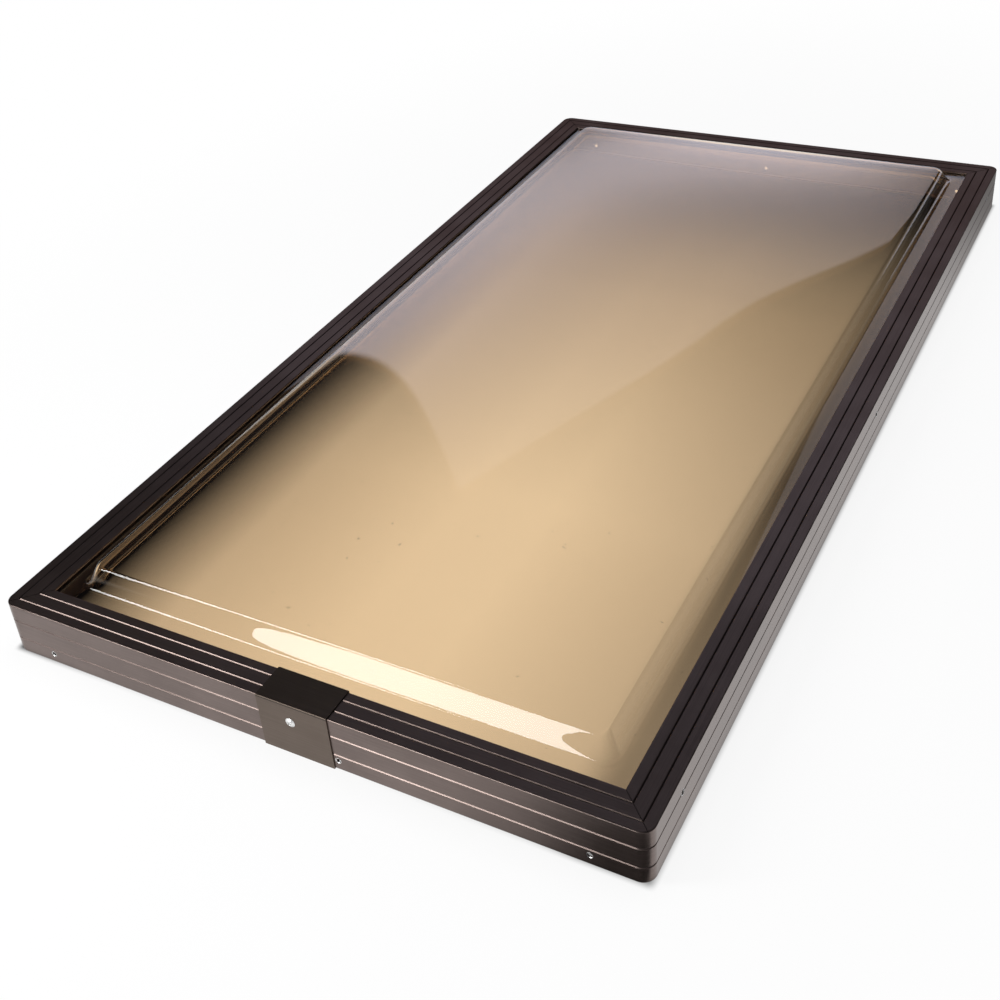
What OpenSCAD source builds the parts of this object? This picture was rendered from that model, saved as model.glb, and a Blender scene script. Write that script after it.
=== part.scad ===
/* [Roof curb] */
// Outside width of the roof curb that the frame goes over
curb_w = 648; // [380:1:1200]
// Outside length of the roof curb
curb_l = 1258; // [600:1:2400]
// Distance from the curb's outside face to the frame's
curb_room = 6; // [6:0.1:9]

/* [Retaining frame] */
// Height of the frame from the bottom hem to the top face
frame_h = 58; // [50:0.5:80]
// Wall thickness of the frame's extrusion
frame_t = 1.8; // [1.5:0.1:2.5]
// Width of the top flange, from the outside face to the lip
flange_w = 34.6; // [30:0.1:42]
// Outside radius of the bent corners
corner_r = 12; // [10:0.5:14]
// Radius of the flange's two top edges
edge_r = 0.8; // [0.4:0.1:1.2]
// Outside radius of the bottom hem
hem_r = 1.6; // [0.8:0.1:1.8]
// Reach of the bottom hem, from the outside face
hem_w = 4.8; // [4:0.1:5.4]
// Reach of the inner rib that carries the glazing stack
rib_w = 3.5; // [2.5:0.1:3.9]
// Thickness of the inner rib
rib_t = 2; // [1.5:0.1:2.5]

/* [Drill grooves] */
// Width of each V groove at the surface
groove_w = 2; // [1:0.1:2.4]
// Depth of each V groove
groove_d = 0.7; // [0.3:0.1:1]
// Inset of the outer flange groove from the outside face
groove_outer_u = 10.6; // [8:0.1:10.7]
// Inset of the inner flange groove from the outside face
groove_inner_u = 24.2; // [18:0.1:26]
// Drop of the upper skirt groove below the top face
groove_upper_drop = 19; // [18.5:0.1:20]
// Height of the lower skirt groove above the bottom
groove_lower_z = 17.5; // [16.5:0.1:20]
// Width of the mitre seam at each corner of the flange
seam_w = 0.6; // [0.4:0.1:1.2]
// Depth of the mitre seam below the bottom of the grooves
seam_extra = 0.2; // [0.1:0.1:0.5]

/* [Fixing holes] */
// Diameter of the screw holes through the skirt
hole_d = 4.8; // [3.5:0.1:5.5]
// Height of the holes in the two short sides
end_hole_z = 11; // [8:0.5:13]
// Distance of the outer holes in the short sides from the frame's end
end_hole_inset = 51; // [30:1:80]
// Place of the third hole in the front side, right of the centre
front_mid_hole_x = 46; // [45:0.5:90]
// Distance of the outer holes in the long sides from the frame's end
side_hole_inset = 65; // [40:1:120]

/* [Joint cover] */
// Width of the cover along the front side
cover_w = 73; // [60:1:74]
// Place of the cover's middle, right of the centre
cover_x = 5; // [0:0.5:6]
// Sheet thickness of the cover
cover_t = 1; // [0.6:0.1:1.2]
// Gap between the cover and the frame
cover_fit = 0.2; // [0.1:0.05:0.4]
// Length of the hook inside the bottom hem
cover_hook_h = 5; // [3:0.5:9]
// Depth of the turned-down edge over the flange's lip
cover_lip_h = 2; // [1.2:0.1:2.2]
// Gap between the two butted ends of the frame
joint_gap = 1.2; // [0.6:0.1:2]
// Distance of the butted ends from the rivet
joint_off = 16; // [10:0.5:24]

/* [Rivet] */
// Distance of the rivet from the cover's middle
rivet_off = 3; // [0:0.5:6]
// Diameter of the rivet's head
rivet_head_d = 9.6; // [8:0.1:11]
// Height of the rivet's head
rivet_head_h = 1.8; // [1.2:0.1:2.4]
// Diameter of the rivet's body
rivet_d = 4.8; // [4:0.1:5]
// Diameter of the hollow left by the pulled stem
rivet_hollow_d = 2.8; // [2:0.1:3.2]
// Depth of that hollow, from the top of the head
rivet_hollow_h = 1.6; // [0.8:0.1:2]
// Diameter of the set tail inside the skirt
rivet_tail_d = 7; // [6:0.1:7.5]
// Length of the set tail
rivet_tail_h = 3; // [2:0.1:3.6]
// Gap between the rivet's body and its holes
rivet_fit = 0.1; // [0.05:0.05:0.2]

/* [Domes] */
// Sheet thickness of the outer dome
outer_t = 3; // [2:0.1:4]
// Sheet thickness of the inner dome
inner_t = 2.4; // [1.5:0.1:3]
// Room for the sheets to grow, from the skirt to their edges
dome_edge_gap = 3; // [2:0.1:4]
// Corner radius of the domes' flat flanges
dome_edge_r = 10; // [8:0.5:16]
// Flat strip of the outer dome seen between the lip and the riser
dome_strip = 14.5; // [10:0.5:20]
// Plan radius of the riser's corners at its foot
riser_r = 15; // [10:0.5:30]
// Plan radius of the riser's corners at its shoulder
shoulder_r = 10; // [6:0.5:24]
// Plan width of the riser
riser_run = 16.5; // [12:0.5:20]
// Height of the outer dome's riser
riser_h = 20; // [14:0.5:28]
// Height of the outer dome's crown above its riser
crown_h = 45; // [25:1:80]
// Fullness of the crown across the short side
crown_full_w = 2; // [2:0.1:4]
// Fullness of the crown along the long side
crown_full_l = 2.7; // [2:0.1:5]
// Plan distance of the inner riser inside the outer one
inner_step = 6.5; // [5:0.5:12]
// Drop of the inner dome's riser below the outer one's
inner_riser_drop = 8; // [5:0.5:10]
// Drop of the inner dome's crown below the outer one's
inner_crown_drop = 4; // [2:0.5:12]

/* [Seals] */
// Thickness of the tape between the frame's flange and the outer dome
cap_seal_t = 1; // [0.8:0.1:1.6]
// Thickness of the tape between the two domes
spacer_t = 1; // [0.6:0.1:2]
// Thickness of the tape under the inner dome
bed_seal_t = 1; // [0.6:0.1:2]
// Width of the three tapes
seal_w = 18; // [10:0.5:20]
// Inset of the tapes from the outside face of the frame
seal_u = 11; // [8:0.5:12]
// Gap between the frame's lip and the outer dome
lip_gap = 0.3; // [0.2:0.05:0.4]

/* [Thermal frame] */
// Thickness of the seat that the domes lie on
web_t = 2; // [1.5:0.1:3]
// Gap between the seat and the skirt
web_gap = 0.5; // [0.3:0.1:1]
// Distance of the seat's inner edge back from the lip, out of sight under the flange
web_back = 1; // [0.5:0.5:6]

/* [Curb seat] */
// Thickness of the foam gasket on the curb
gasket_t = 1.3; // [0.8:0.1:3]
// Inset of the gasket from the curb's outside face and from the seat's inner edge
gasket_inset = 1; // [0.5:0.5:4]

/* [Hidden] */

// Facets of true round shapes, a margin that carries cuts past a surface,
// and one that joins lengths of one piece
round_fn = 64;
cut = 1;
lap = 0.2;
arc_steps = 4;
half_turn = 180;
quarter_turn = 90;
diagonal = 45;

// The frame's outside, from the curb that it goes over
frame_w = curb_w + 2 * curb_room;
frame_l = curb_l + 2 * curb_room;

// The glazing stack, from the top flange down to the curb
flange_z = frame_h - frame_t;
outer_top_z = flange_z - cap_seal_t;
outer_bottom_z = outer_top_z - outer_t;
inner_top_z = outer_bottom_z - spacer_t;
inner_bottom_z = inner_top_z - inner_t;
web_top_z = inner_bottom_z - bed_seal_t;
web_bottom_z = web_top_z - web_t;
curb_z = web_bottom_z - gasket_t;
lip_z = outer_top_z + lip_gap;
groove_upper_z = frame_h - groove_upper_drop;
seam_d = groove_d + seam_extra;

// Insets from the outside face of the frame
dome_u = frame_t + dome_edge_gap;
outer_foot_u = flange_w + dome_strip;
inner_foot_u = outer_foot_u + inner_step;
web_u = frame_t + web_gap;
web_end_u = flange_w - web_back;
gasket_u = curb_room + gasket_inset;
gasket_w = web_end_u - gasket_inset - gasket_u;

// The rivet sits on the upper groove, and the frame's ends butt beside it
rivet_x = cover_x - rivet_off;
joint_x = rivet_x + joint_off;

// Splits of a dome's rings: along the sides, round a corner, up the riser and over the crown
split_w = 8;
split_l = 14;
split_corner = 3;
riser_steps = 5;
crown_rings = [0.94, 0.84, 0.7, 0.52, 0.33, 0.15];

// Sides of the frame, each as its turn, its length and its distance from the centre
front_side = [0, frame_w, frame_l / 2];
right_side = [quarter_turn, frame_l, frame_w / 2];
back_side = [2 * quarter_turn, frame_w, frame_l / 2];
left_side = [3 * quarter_turn, frame_l, frame_w / 2];
all_sides = [front_side, right_side, back_side, left_side];

// Points of an arc about [x, y], from angle a0 to a1
function arc(x, y, r, a0, a1, n = arc_steps) =
  [for (i = [0:n]) let (a = a0 + (a1 - a0) * i / n) [x + r * cos(a), y + r * sin(a)]];

// Lays a section, drawn as inset and height, along the front side and turns it to its own side
module along(side, length) {
  rotate([0, 0, side[0]])
    translate([-length / 2, -side[2], 0])
      rotate([quarter_turn, 0, quarter_turn])
        linear_extrude(length)
          children();
}

// A bar along one side with both ends cut to a mitre, from inset u0 to inset u1,
// and run past the mitre by a small lap where a seam is cut there later
module mitred_bar(side, u0, u1, past = 0) {
  reach = side[1] / 2 + past;
  intersection() {
    along(side, 2 * reach)
      children();
    rotate([0, 0, side[0]])
      translate([0, 0, -frame_h])
        linear_extrude(3 * frame_h)
          polygon([
            [-reach + u0, -side[2] + u0],
            [reach - u0, -side[2] + u0],
            [reach - u1, -side[2] + u1],
            [-reach + u1, -side[2] + u1]
          ]);
  }
}

// A length of a section that starts at a corner's bend and runs along the x axis
module run_from_bend(length) {
  translate([0, -corner_r, 0])
    rotate([quarter_turn, 0, quarter_turn])
      linear_extrude(length)
        children();
}

// A section run along all four sides, and a second one bent round the corners between them
module bent_ring() {
  for (i = [0:3]) {
    before = all_sides[i][1] / 2 - corner_r;
    after = all_sides[i][2] - corner_r;
    rotate([0, 0, i * quarter_turn])
      translate([before, -after, 0]) {
        rotate([0, 0, -quarter_turn])
          rotate_extrude(angle = quarter_turn, $fn = round_fn)
            translate([corner_r, 0])
              mirror([1, 0])
                children(1);
        translate([-before - lap, 0, 0])
          run_from_bend(before + lap)
            children(0);
        rotate([0, 0, quarter_turn])
          run_from_bend(after + lap)
            children(0);
      }
  }
}

// Section of the skirt: bottom hem, two drill grooves, top edge and inner rib;
// the hem's return and the rib are notched away at the corners, where the skirt is bent
module skirt_section(notched) {
  half = groove_w / 2;
  reach = notched ? frame_t : hem_w;
  rib = [
    [frame_t, web_bottom_z], [frame_t + rib_w, web_bottom_z],
    [frame_t + rib_w, web_bottom_z - rib_t], [frame_t, web_bottom_z - rib_t]
  ];
  polygon(concat(
    [[reach, 0]],
    arc(hem_r, hem_r, hem_r, -quarter_turn, -half_turn),
    [
      [0, groove_lower_z - half], [groove_d, groove_lower_z], [0, groove_lower_z + half],
      [0, groove_upper_z - half], [groove_d, groove_upper_z], [0, groove_upper_z + half]
    ],
    arc(edge_r, frame_h - edge_r, edge_r, half_turn, quarter_turn),
    [
      [groove_outer_u - half, frame_h], [groove_outer_u, frame_h - groove_d],
      [groove_outer_u + half, frame_h], [corner_r, frame_h], [corner_r, flange_z], [frame_t, flange_z]
    ],
    notched ? [] : rib,
    notched ? [] : [[frame_t, frame_t], [reach, frame_t]]
  ));
}

// Section of the mitred part of the flange: one drill groove and the turned-down lip
module flange_section() {
  half = groove_w / 2;
  polygon(concat(
    [
      [corner_r - lap, flange_z], [corner_r - lap, frame_h],
      [groove_inner_u - half, frame_h], [groove_inner_u, frame_h - groove_d], [groove_inner_u + half, frame_h]
    ],
    arc(flange_w - edge_r, frame_h - edge_r, edge_r, quarter_turn, 0),
    [[flange_w, lip_z], [flange_w - frame_t, lip_z], [flange_w - frame_t, flange_z]]
  ));
}

// The hairline gap along the mitre at each corner of the flange
module mitre_seams() {
  for (side = all_sides)
    rotate([0, 0, side[0]])
      translate([side[1] / 2, -side[2], frame_h - seam_d])
        rotate([0, 0, half_turn - diagonal])
          translate([0, -seam_w / 2, 0])
            cube([(flange_w + cut) * sqrt(2), seam_w, seam_d + cut]);
}

// One round hole through the skirt of a side, at a place along it and a height
module skirt_hole(side, x, z, d) {
  rotate([0, 0, side[0]])
    translate([x, -side[2] - cut, z])
      rotate([-quarter_turn, 0, 0])
        cylinder(d = d, h = frame_t + 2 * cut, $fn = round_fn);
}

// The screw holes on all four sides
module fixing_holes() {
  end_x = frame_w / 2 - end_hole_inset;
  side_x = frame_l / 2 - side_hole_inset;
  for (x = [-end_x, front_mid_hole_x, end_x])
    skirt_hole(front_side, x, end_hole_z, hole_d);
  for (x = [-end_x, 0, end_x])
    skirt_hole(back_side, x, end_hole_z, hole_d);
  for (side = [left_side, right_side], x = [-side_x, 0, side_x])
    skirt_hole(side, x, groove_upper_z, hole_d);
}

// One extrusion bent round the corners, its flange mitred and its ends butted on the front side
module retaining_frame() {
  color("#3d302c")
    difference() {
      union() {
        bent_ring() {
          skirt_section(notched = false);
          skirt_section(notched = true);
        }
        for (side = all_sides)
          mitred_bar(side, corner_r - lap, flange_w, lap)
            flange_section();
      }
      mitre_seams();
      fixing_holes();
      skirt_hole(front_side, rivet_x, groove_upper_z, rivet_d + 2 * rivet_fit);
      translate([joint_x - joint_gap / 2, -frame_l / 2 - cut, -cut])
        cube([joint_gap, flange_w + 2 * cut, frame_h + 2 * cut]);
    }
}

// Section of the folded cover: lip edge, top, front and the hook under the hem
module cover_section() {
  near = -cover_fit;
  far = -cover_fit - cover_t;
  top_z = frame_h + cover_fit;
  lip_u = flange_w + cover_fit;
  hook_u = hem_w + cover_fit;
  polygon([
    [far, far], [hook_u + cover_t, far], [hook_u + cover_t, cover_hook_h], [hook_u, cover_hook_h],
    [hook_u, near], [near, near], [near, top_z], [lip_u, top_z], [lip_u, top_z - cover_lip_h],
    [lip_u + cover_t, top_z - cover_lip_h], [lip_u + cover_t, top_z + cover_t], [far, top_z + cover_t]
  ]);
}

// Sheet cover clipped over the butted ends of the frame
module joint_cover() {
  color("#4a3b34")
    difference() {
      translate([cover_x, 0, 0])
        along(front_side, cover_w)
          cover_section();
      translate([rivet_x, -frame_l / 2 + cut, groove_upper_z])
        rotate([quarter_turn, 0, 0])
          cylinder(d = rivet_d + 2 * rivet_fit, h = cover_t + 4 * cut, $fn = round_fn);
    }
}

// Blind rivet: domed head with the hollow of its stem, body and set tail
module cover_rivet() {
  grip = cover_t + cover_fit + frame_t;
  head_r = rivet_head_d / 2;
  ball_r = (head_r * head_r + rivet_head_h * rivet_head_h) / (2 * rivet_head_h);
  sweep = asin(head_r / ball_r);
  hollow_r = rivet_hollow_d / 2;
  hollow_a = asin(hollow_r / ball_r);
  rim_z = ball_r * cos(hollow_a) + rivet_head_h - ball_r;
  color("#d9dadb")
    translate([rivet_x, -frame_l / 2 - cover_fit - cover_t, groove_upper_z])
      rotate([quarter_turn, 0, 0])
        rotate_extrude($fn = round_fn)
          polygon(concat(
            [[0, rim_z - rivet_hollow_h], [hollow_r, rim_z - rivet_hollow_h]],
            arc(0, rivet_head_h - ball_r, ball_r, quarter_turn - hollow_a, quarter_turn - sweep),
            [
              [rivet_d / 2, 0], [rivet_d / 2, -grip],
              [rivet_tail_d / 2, -grip], [rivet_d / 2, -grip - rivet_tail_h], [0, -grip - rivet_tail_h]
            ]
          ));
}

// Smooth step from 0 to 1, and its slope at the middle
ease_slope = 1.5;
function ease(t) = let (c = min(max(t, 0), 1)) c * c * (3 - 2 * c);

// Height of the crown, as a share, at a point given as shares of the shoulder's half sizes
function crown_share(x, y) =
  (1 - pow(min(abs(x), 1), crown_full_w)) * (1 - pow(min(abs(y), 1), crown_full_l));

// Points of a quarter circle about [x, y], starting at a number of quarter turns
function bend(x, y, r, quarter) =
  arc(x, y, r, quarter_turn * quarter, quarter_turn * (quarter + 1), split_corner);

// Plan points of a rounded rectangle, with the same number of points at every size
function rounded_ring(a, b, r) =
  let (x = a - r, y = b - r)
  concat(
    bend(x, y, r, 0),
    [for (i = [1:split_w - 1]) [x * (1 - 2 * i / split_w), b]],
    bend(-x, y, r, 1),
    [for (i = [1:split_l - 1]) [-a, y * (1 - 2 * i / split_l)]],
    bend(-x, -y, r, 2),
    [for (i = [1:split_w - 1]) [x * (2 * i / split_w - 1), -b]],
    bend(x, -y, r, 3),
    [for (i = [1:split_l - 1]) [a, y * (2 * i / split_l - 1)]]
  );

// Points of one skin of a dome: flat flange, riser and crown, ring by ring towards the middle
function skin(foot_u, z, rise, crown) =
  let (
    a = frame_w / 2 - foot_u,
    b = frame_l / 2 - foot_u,
    shoulder_a = a - riser_run,
    shoulder_b = b - riser_run,
    top = z + rise
  )
  concat(
    [for (p = rounded_ring(frame_w / 2 - dome_u, frame_l / 2 - dome_u, dome_edge_r)) [p[0], p[1], z]],
    [
      for (i = [0:riser_steps])
        let (t = i / riser_steps, e = riser_run * t, r = riser_r + (shoulder_r - riser_r) * t)
          for (p = rounded_ring(a - e, b - e, r)) [p[0], p[1], z + rise * ease(t)]
    ],
    [
      for (s = crown_rings)
        for (p = rounded_ring(shoulder_a * s, shoulder_b * s, shoulder_r * s))
          [p[0], p[1], top + crown * crown_share(p[0] / shoulder_a, p[1] / shoulder_b)]
    ],
    [[0, 0, top + crown]]
  );

// A dome blown from one sheet of thickness t, with an even wall up its riser
module dome(foot_u, z, t, rise, crown) {
  steep = atan(ease_slope * rise / riser_run);
  per_ring = 2 * (split_w - 1) + 2 * (split_l - 1) + 4 * (split_corner + 1);
  rings = 2 + riser_steps + len(crown_rings);
  upper = skin(foot_u, z, rise, crown);
  lower = skin(foot_u + t * tan(steep / 2), z - t, rise, crown);
  n = len(upper);
  last = (rings - 1) * per_ring;
  polyhedron(
    points = concat(upper, lower),
    faces = concat(
      [
        for (k = [0:rings - 2], i = [0:per_ring - 1])
          let (j = (i + 1) % per_ring, p = k * per_ring, q = p + per_ring)
            each [[p + j, p + i, q + i], [p + j, q + i, q + j]]
      ],
      [
        for (k = [0:rings - 2], i = [0:per_ring - 1])
          let (j = (i + 1) % per_ring, p = n + k * per_ring, q = p + per_ring)
            each [[p + i, p + j, q + i], [q + i, p + j, q + j]]
      ],
      [for (i = [0:per_ring - 1]) let (j = (i + 1) % per_ring) [last + j, last + i, n - 1]],
      [for (i = [0:per_ring - 1]) let (j = (i + 1) % per_ring) [n + last + i, n + last + j, 2 * n - 1]],
      [
        for (i = [0:per_ring - 1])
          let (j = (i + 1) % per_ring)
            each [[i, j, n + i], [j, n + j, n + i]]
      ]
    )
  );
}

// Tinted dome that takes the weather
module outer_dome() {
  color("#b08d5f", 0.55)
    dome(outer_foot_u, outer_top_z, outer_t, riser_h, crown_h);
}

// Clear dome nested under the outer one, with still air between them
module inner_dome() {
  color("#e4e7e6", 0.4)
    dome(inner_foot_u, inner_top_z, inner_t, riser_h - inner_riser_drop, crown_h - inner_crown_drop);
}

// Section of the thermal frame: the flat seat under the domes' edges
module thermal_section() {
  translate([web_u, web_bottom_z])
    square([web_end_u - web_u, web_t]);
}

// A plate with the outline of the skirt's inside, for trimming what fits in its corners
module inside_skirt(gap) {
  a = frame_w / 2 - corner_r;
  b = frame_l / 2 - corner_r;
  r = corner_r - frame_t - gap;
  linear_extrude(frame_h)
    union() {
      square([2 * a, 2 * (b + r)], center = true);
      square([2 * (a + r), 2 * b], center = true);
      for (x = [-a, a], y = [-b, b])
        translate([x, y])
          circle(r = r, $fn = round_fn);
    }
}

// Mitred and welded plastic frame that keeps the domes and the metal off the curb
module thermal_frame() {
  color("#2b2624")
    intersection() {
      union() {
        for (side = all_sides)
          mitred_bar(side, 0, web_end_u + cut)
            thermal_section();
      }
      inside_skirt(web_gap);
    }
}

// A flat strip along one side: the front and back ones run through, the side ones butt between them
module strip(side, u, w, z, t) {
  through = side[2] == frame_l / 2;
  length = side[1] - 2 * u - (through ? 0 : 2 * w);
  rotate([0, 0, side[0]])
    translate([-length / 2, -side[2] + u, z])
      cube([length, w, t]);
}

// Tape that seals the flange to the outer dome
module cap_seal(side) {
  color("#1d1d1d")
    strip(side, seal_u, seal_w, outer_top_z, cap_seal_t);
}

// Tape that holds the two domes apart
module dome_spacer(side) {
  color("#c9c9c4")
    strip(side, seal_u, seal_w, inner_top_z, spacer_t);
}

// Tape that beds the inner dome on the thermal frame
module bed_seal(side) {
  color("#1d1d1d")
    strip(side, seal_u, seal_w, web_top_z, bed_seal_t);
}

// Foam strip that the whole light bears on the curb with
module curb_gasket(side) {
  color("#33373a")
    strip(side, gasket_u, gasket_w, curb_z, gasket_t);
}

retaining_frame();
joint_cover();
cover_rivet();
outer_dome();
inner_dome();
thermal_frame();
cap_seal(front_side);  // cap_seal_front
cap_seal(back_side);  // cap_seal_back
cap_seal(left_side);  // cap_seal_left
cap_seal(right_side);  // cap_seal_right
dome_spacer(front_side);  // dome_spacer_front
dome_spacer(back_side);  // dome_spacer_back
dome_spacer(left_side);  // dome_spacer_left
dome_spacer(right_side);  // dome_spacer_right
bed_seal(front_side);  // bed_seal_front
bed_seal(back_side);  // bed_seal_back
bed_seal(left_side);  // bed_seal_left
bed_seal(right_side);  // bed_seal_right
curb_gasket(front_side);  // curb_gasket_front
curb_gasket(back_side);  // curb_gasket_back
curb_gasket(left_side);  // curb_gasket_left
curb_gasket(right_side);  // curb_gasket_right
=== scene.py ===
"""Looks of the roof skylight, dressed round its packed construction."""
import logging
import math
from dataclasses import dataclass, replace
from enum import Enum, IntEnum

import bmesh
import bpy
from mathutils import Matrix, Vector


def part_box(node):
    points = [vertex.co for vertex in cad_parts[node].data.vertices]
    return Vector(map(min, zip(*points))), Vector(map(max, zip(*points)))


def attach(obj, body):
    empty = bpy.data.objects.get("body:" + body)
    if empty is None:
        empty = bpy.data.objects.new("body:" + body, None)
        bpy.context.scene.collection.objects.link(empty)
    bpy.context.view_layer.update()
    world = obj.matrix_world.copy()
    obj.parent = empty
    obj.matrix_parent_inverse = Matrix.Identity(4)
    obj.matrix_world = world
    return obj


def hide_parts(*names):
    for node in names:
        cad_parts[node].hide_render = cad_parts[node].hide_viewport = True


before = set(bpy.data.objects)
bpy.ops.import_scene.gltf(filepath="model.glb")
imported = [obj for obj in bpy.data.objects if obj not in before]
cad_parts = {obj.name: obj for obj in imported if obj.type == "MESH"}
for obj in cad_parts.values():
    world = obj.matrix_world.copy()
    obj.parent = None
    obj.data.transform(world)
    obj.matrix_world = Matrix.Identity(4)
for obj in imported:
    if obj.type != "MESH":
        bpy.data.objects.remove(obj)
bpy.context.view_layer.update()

LOG = logging.getLogger("skylight")
BODY = "root"
MM = 0.001

# Sizes that several pieces share, in millimetres
FRAME_WIDTH = 660.0
FRAME_LENGTH = 1270.0
FRAME_HEIGHT = 58.0
FRAME_WALL = 1.8
FLANGE_WIDTH = 34.6
HEM_WIDTH = 4.8
COVER_SHEET = 1.0
COVER_FIT = 0.2
COVER_X = 5.0
RIVET_OFF = 3.0
RIVET_X = COVER_X - RIVET_OFF
RIVET_DROP = 19.0
RIVET_Z = FRAME_HEIGHT - RIVET_DROP
RIVET_D = 4.8
RIVET_FIT = 0.1
RIVET_HOLE_D = RIVET_D + 2.0 * RIVET_FIT
CAP_SEAL = 1.0
SPACER = 1.0
OUTER_TOP = FRAME_HEIGHT - FRAME_WALL - CAP_SEAL
LIP_GAP = 0.3
DOME_GAP = 3.0
DOME_STRIP = 14.5
WEAR_REACH = 0.5

# Sizes in metres
TOP_Z = FRAME_HEIGHT * MM
DRILL_REACH = 0.004
MERGE_DISTANCE = 1e-6
SLIVER_SIZE = 1e-7
UV_SIDE_SHIFT = 3.0

SMOOTH_LIMIT = math.radians(34.0)
QUARTER = math.pi / 2.0
LATHE_STEPS = 40
RUN_UV = "Run"
EDGE_MARK = "edge"
CLIMB_MARK = "climb"
OUT_MARK = "out"

Colour = tuple[float, float, float]
Triple = tuple[float, float, float]
Point2 = tuple[float, float]
Ring = list[bmesh.types.BMVert]

WHITE: Colour = (1.0, 1.0, 1.0)
BLACK: Colour = (0.0, 0.0, 0.0)


class Side(Enum):
    """The four sides of the frame, as the direction each one faces."""

    FRONT = (0.0, -1.0)
    RIGHT = (1.0, 0.0)
    BACK = (0.0, 1.0)
    LEFT = (-1.0, 0.0)

    @property
    def out(self) -> Vector:
        """Direction that the side's skirt faces."""
        return Vector((self.value[0], self.value[1], 0.0))

    @property
    def along(self) -> Vector:
        """Direction that the side runs in, with its skirt on the right hand."""
        return Vector((-self.value[1], self.value[0], 0.0))


class FrameSlot(IntEnum):
    """Material slots of the retaining frame, the first of which its cover has too."""

    BRONZE = 0
    METAL = 1
    FLANGE = 2


class LampUse(Enum):
    """What a lamp does: light surfaces, show in glossy ones, or both."""

    LIGHT = "light"
    MIRROR = "mirror"
    BOTH = "both"


@dataclass(frozen=True)
class Ramp:
    """A change from a start level to an end level between two values."""

    low: float
    high: float
    start: float = 0.0
    end: float = 1.0


@dataclass(frozen=True)
class Noise:
    """An even pattern: its scale, its layers of detail and the weight of the fine ones."""

    scale: float
    detail: float
    fineness: float


class Value:
    """A socket of a node tree that takes part in Python arithmetic."""

    def __init__(self, graph: "Graph", socket: bpy.types.NodeSocket) -> None:
        """Wraps one output socket."""
        self.graph = graph
        self.socket = socket

    def _math(self, operation: str, *operands: "Value | float") -> "Value":
        """Result of one Math node on its operands."""
        return self.graph.take("ShaderNodeMath", 0, {"operation": operation}, dict(enumerate(operands)))

    def __add__(self, other: "Value | float") -> "Value":
        """Sum."""
        return self._math("ADD", self, other)

    def __radd__(self, other: float) -> "Value":
        """Sum, with a number first."""
        return self._math("ADD", other, self)

    def __sub__(self, other: "Value | float") -> "Value":
        """Difference."""
        return self._math("SUBTRACT", self, other)

    def __rsub__(self, other: float) -> "Value":
        """Difference, with a number first."""
        return self._math("SUBTRACT", other, self)

    def __mul__(self, other: "Value | float") -> "Value":
        """Product."""
        return self._math("MULTIPLY", self, other)

    def __rmul__(self, other: float) -> "Value":
        """Product, with a number first."""
        return self._math("MULTIPLY", other, self)

    def __truediv__(self, other: "Value | float") -> "Value":
        """Quotient."""
        return self._math("DIVIDE", self, other)

    def __rtruediv__(self, other: float) -> "Value":
        """Quotient, with a number first."""
        return self._math("DIVIDE", other, self)

    def __pow__(self, other: "Value | float") -> "Value":
        """Power."""
        return self._math("POWER", self, other)

    def __rpow__(self, other: float) -> "Value":
        """Power, with a number first."""
        return self._math("POWER", other, self)

    def __abs__(self) -> "Value":
        """Size without the sign."""
        return self._math("ABSOLUTE", self)

    def least(self, other: "Value | float") -> "Value":
        """Smaller of two values."""
        return self._math("MINIMUM", self, other)

    def most(self, other: "Value | float") -> "Value":
        """Larger of two values."""
        return self._math("MAXIMUM", self, other)

    def _ramped(self, way: str, ramp: Ramp) -> "Value":
        """Result of one Map Range node on this value.

        Args:
            way: Name of the node's interpolation.
            ramp: Its limits and levels.

        Returns:
            The level at this value.
        """
        limits = {"From Min": ramp.low, "From Max": ramp.high, "To Min": ramp.start, "To Max": ramp.end}
        return self.graph.take(
            "ShaderNodeMapRange", "Result", {"interpolation_type": way}, {"Value": self, **limits}
        )

    def ease(self, ramp: Ramp) -> "Value":
        """Level of this value on a smooth ramp."""
        return self._ramped("SMOOTHSTEP", ramp)

    def slide(self, ramp: Ramp) -> "Value":
        """Level of this value on a straight ramp."""
        return self._ramped("LINEAR", ramp)


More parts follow.
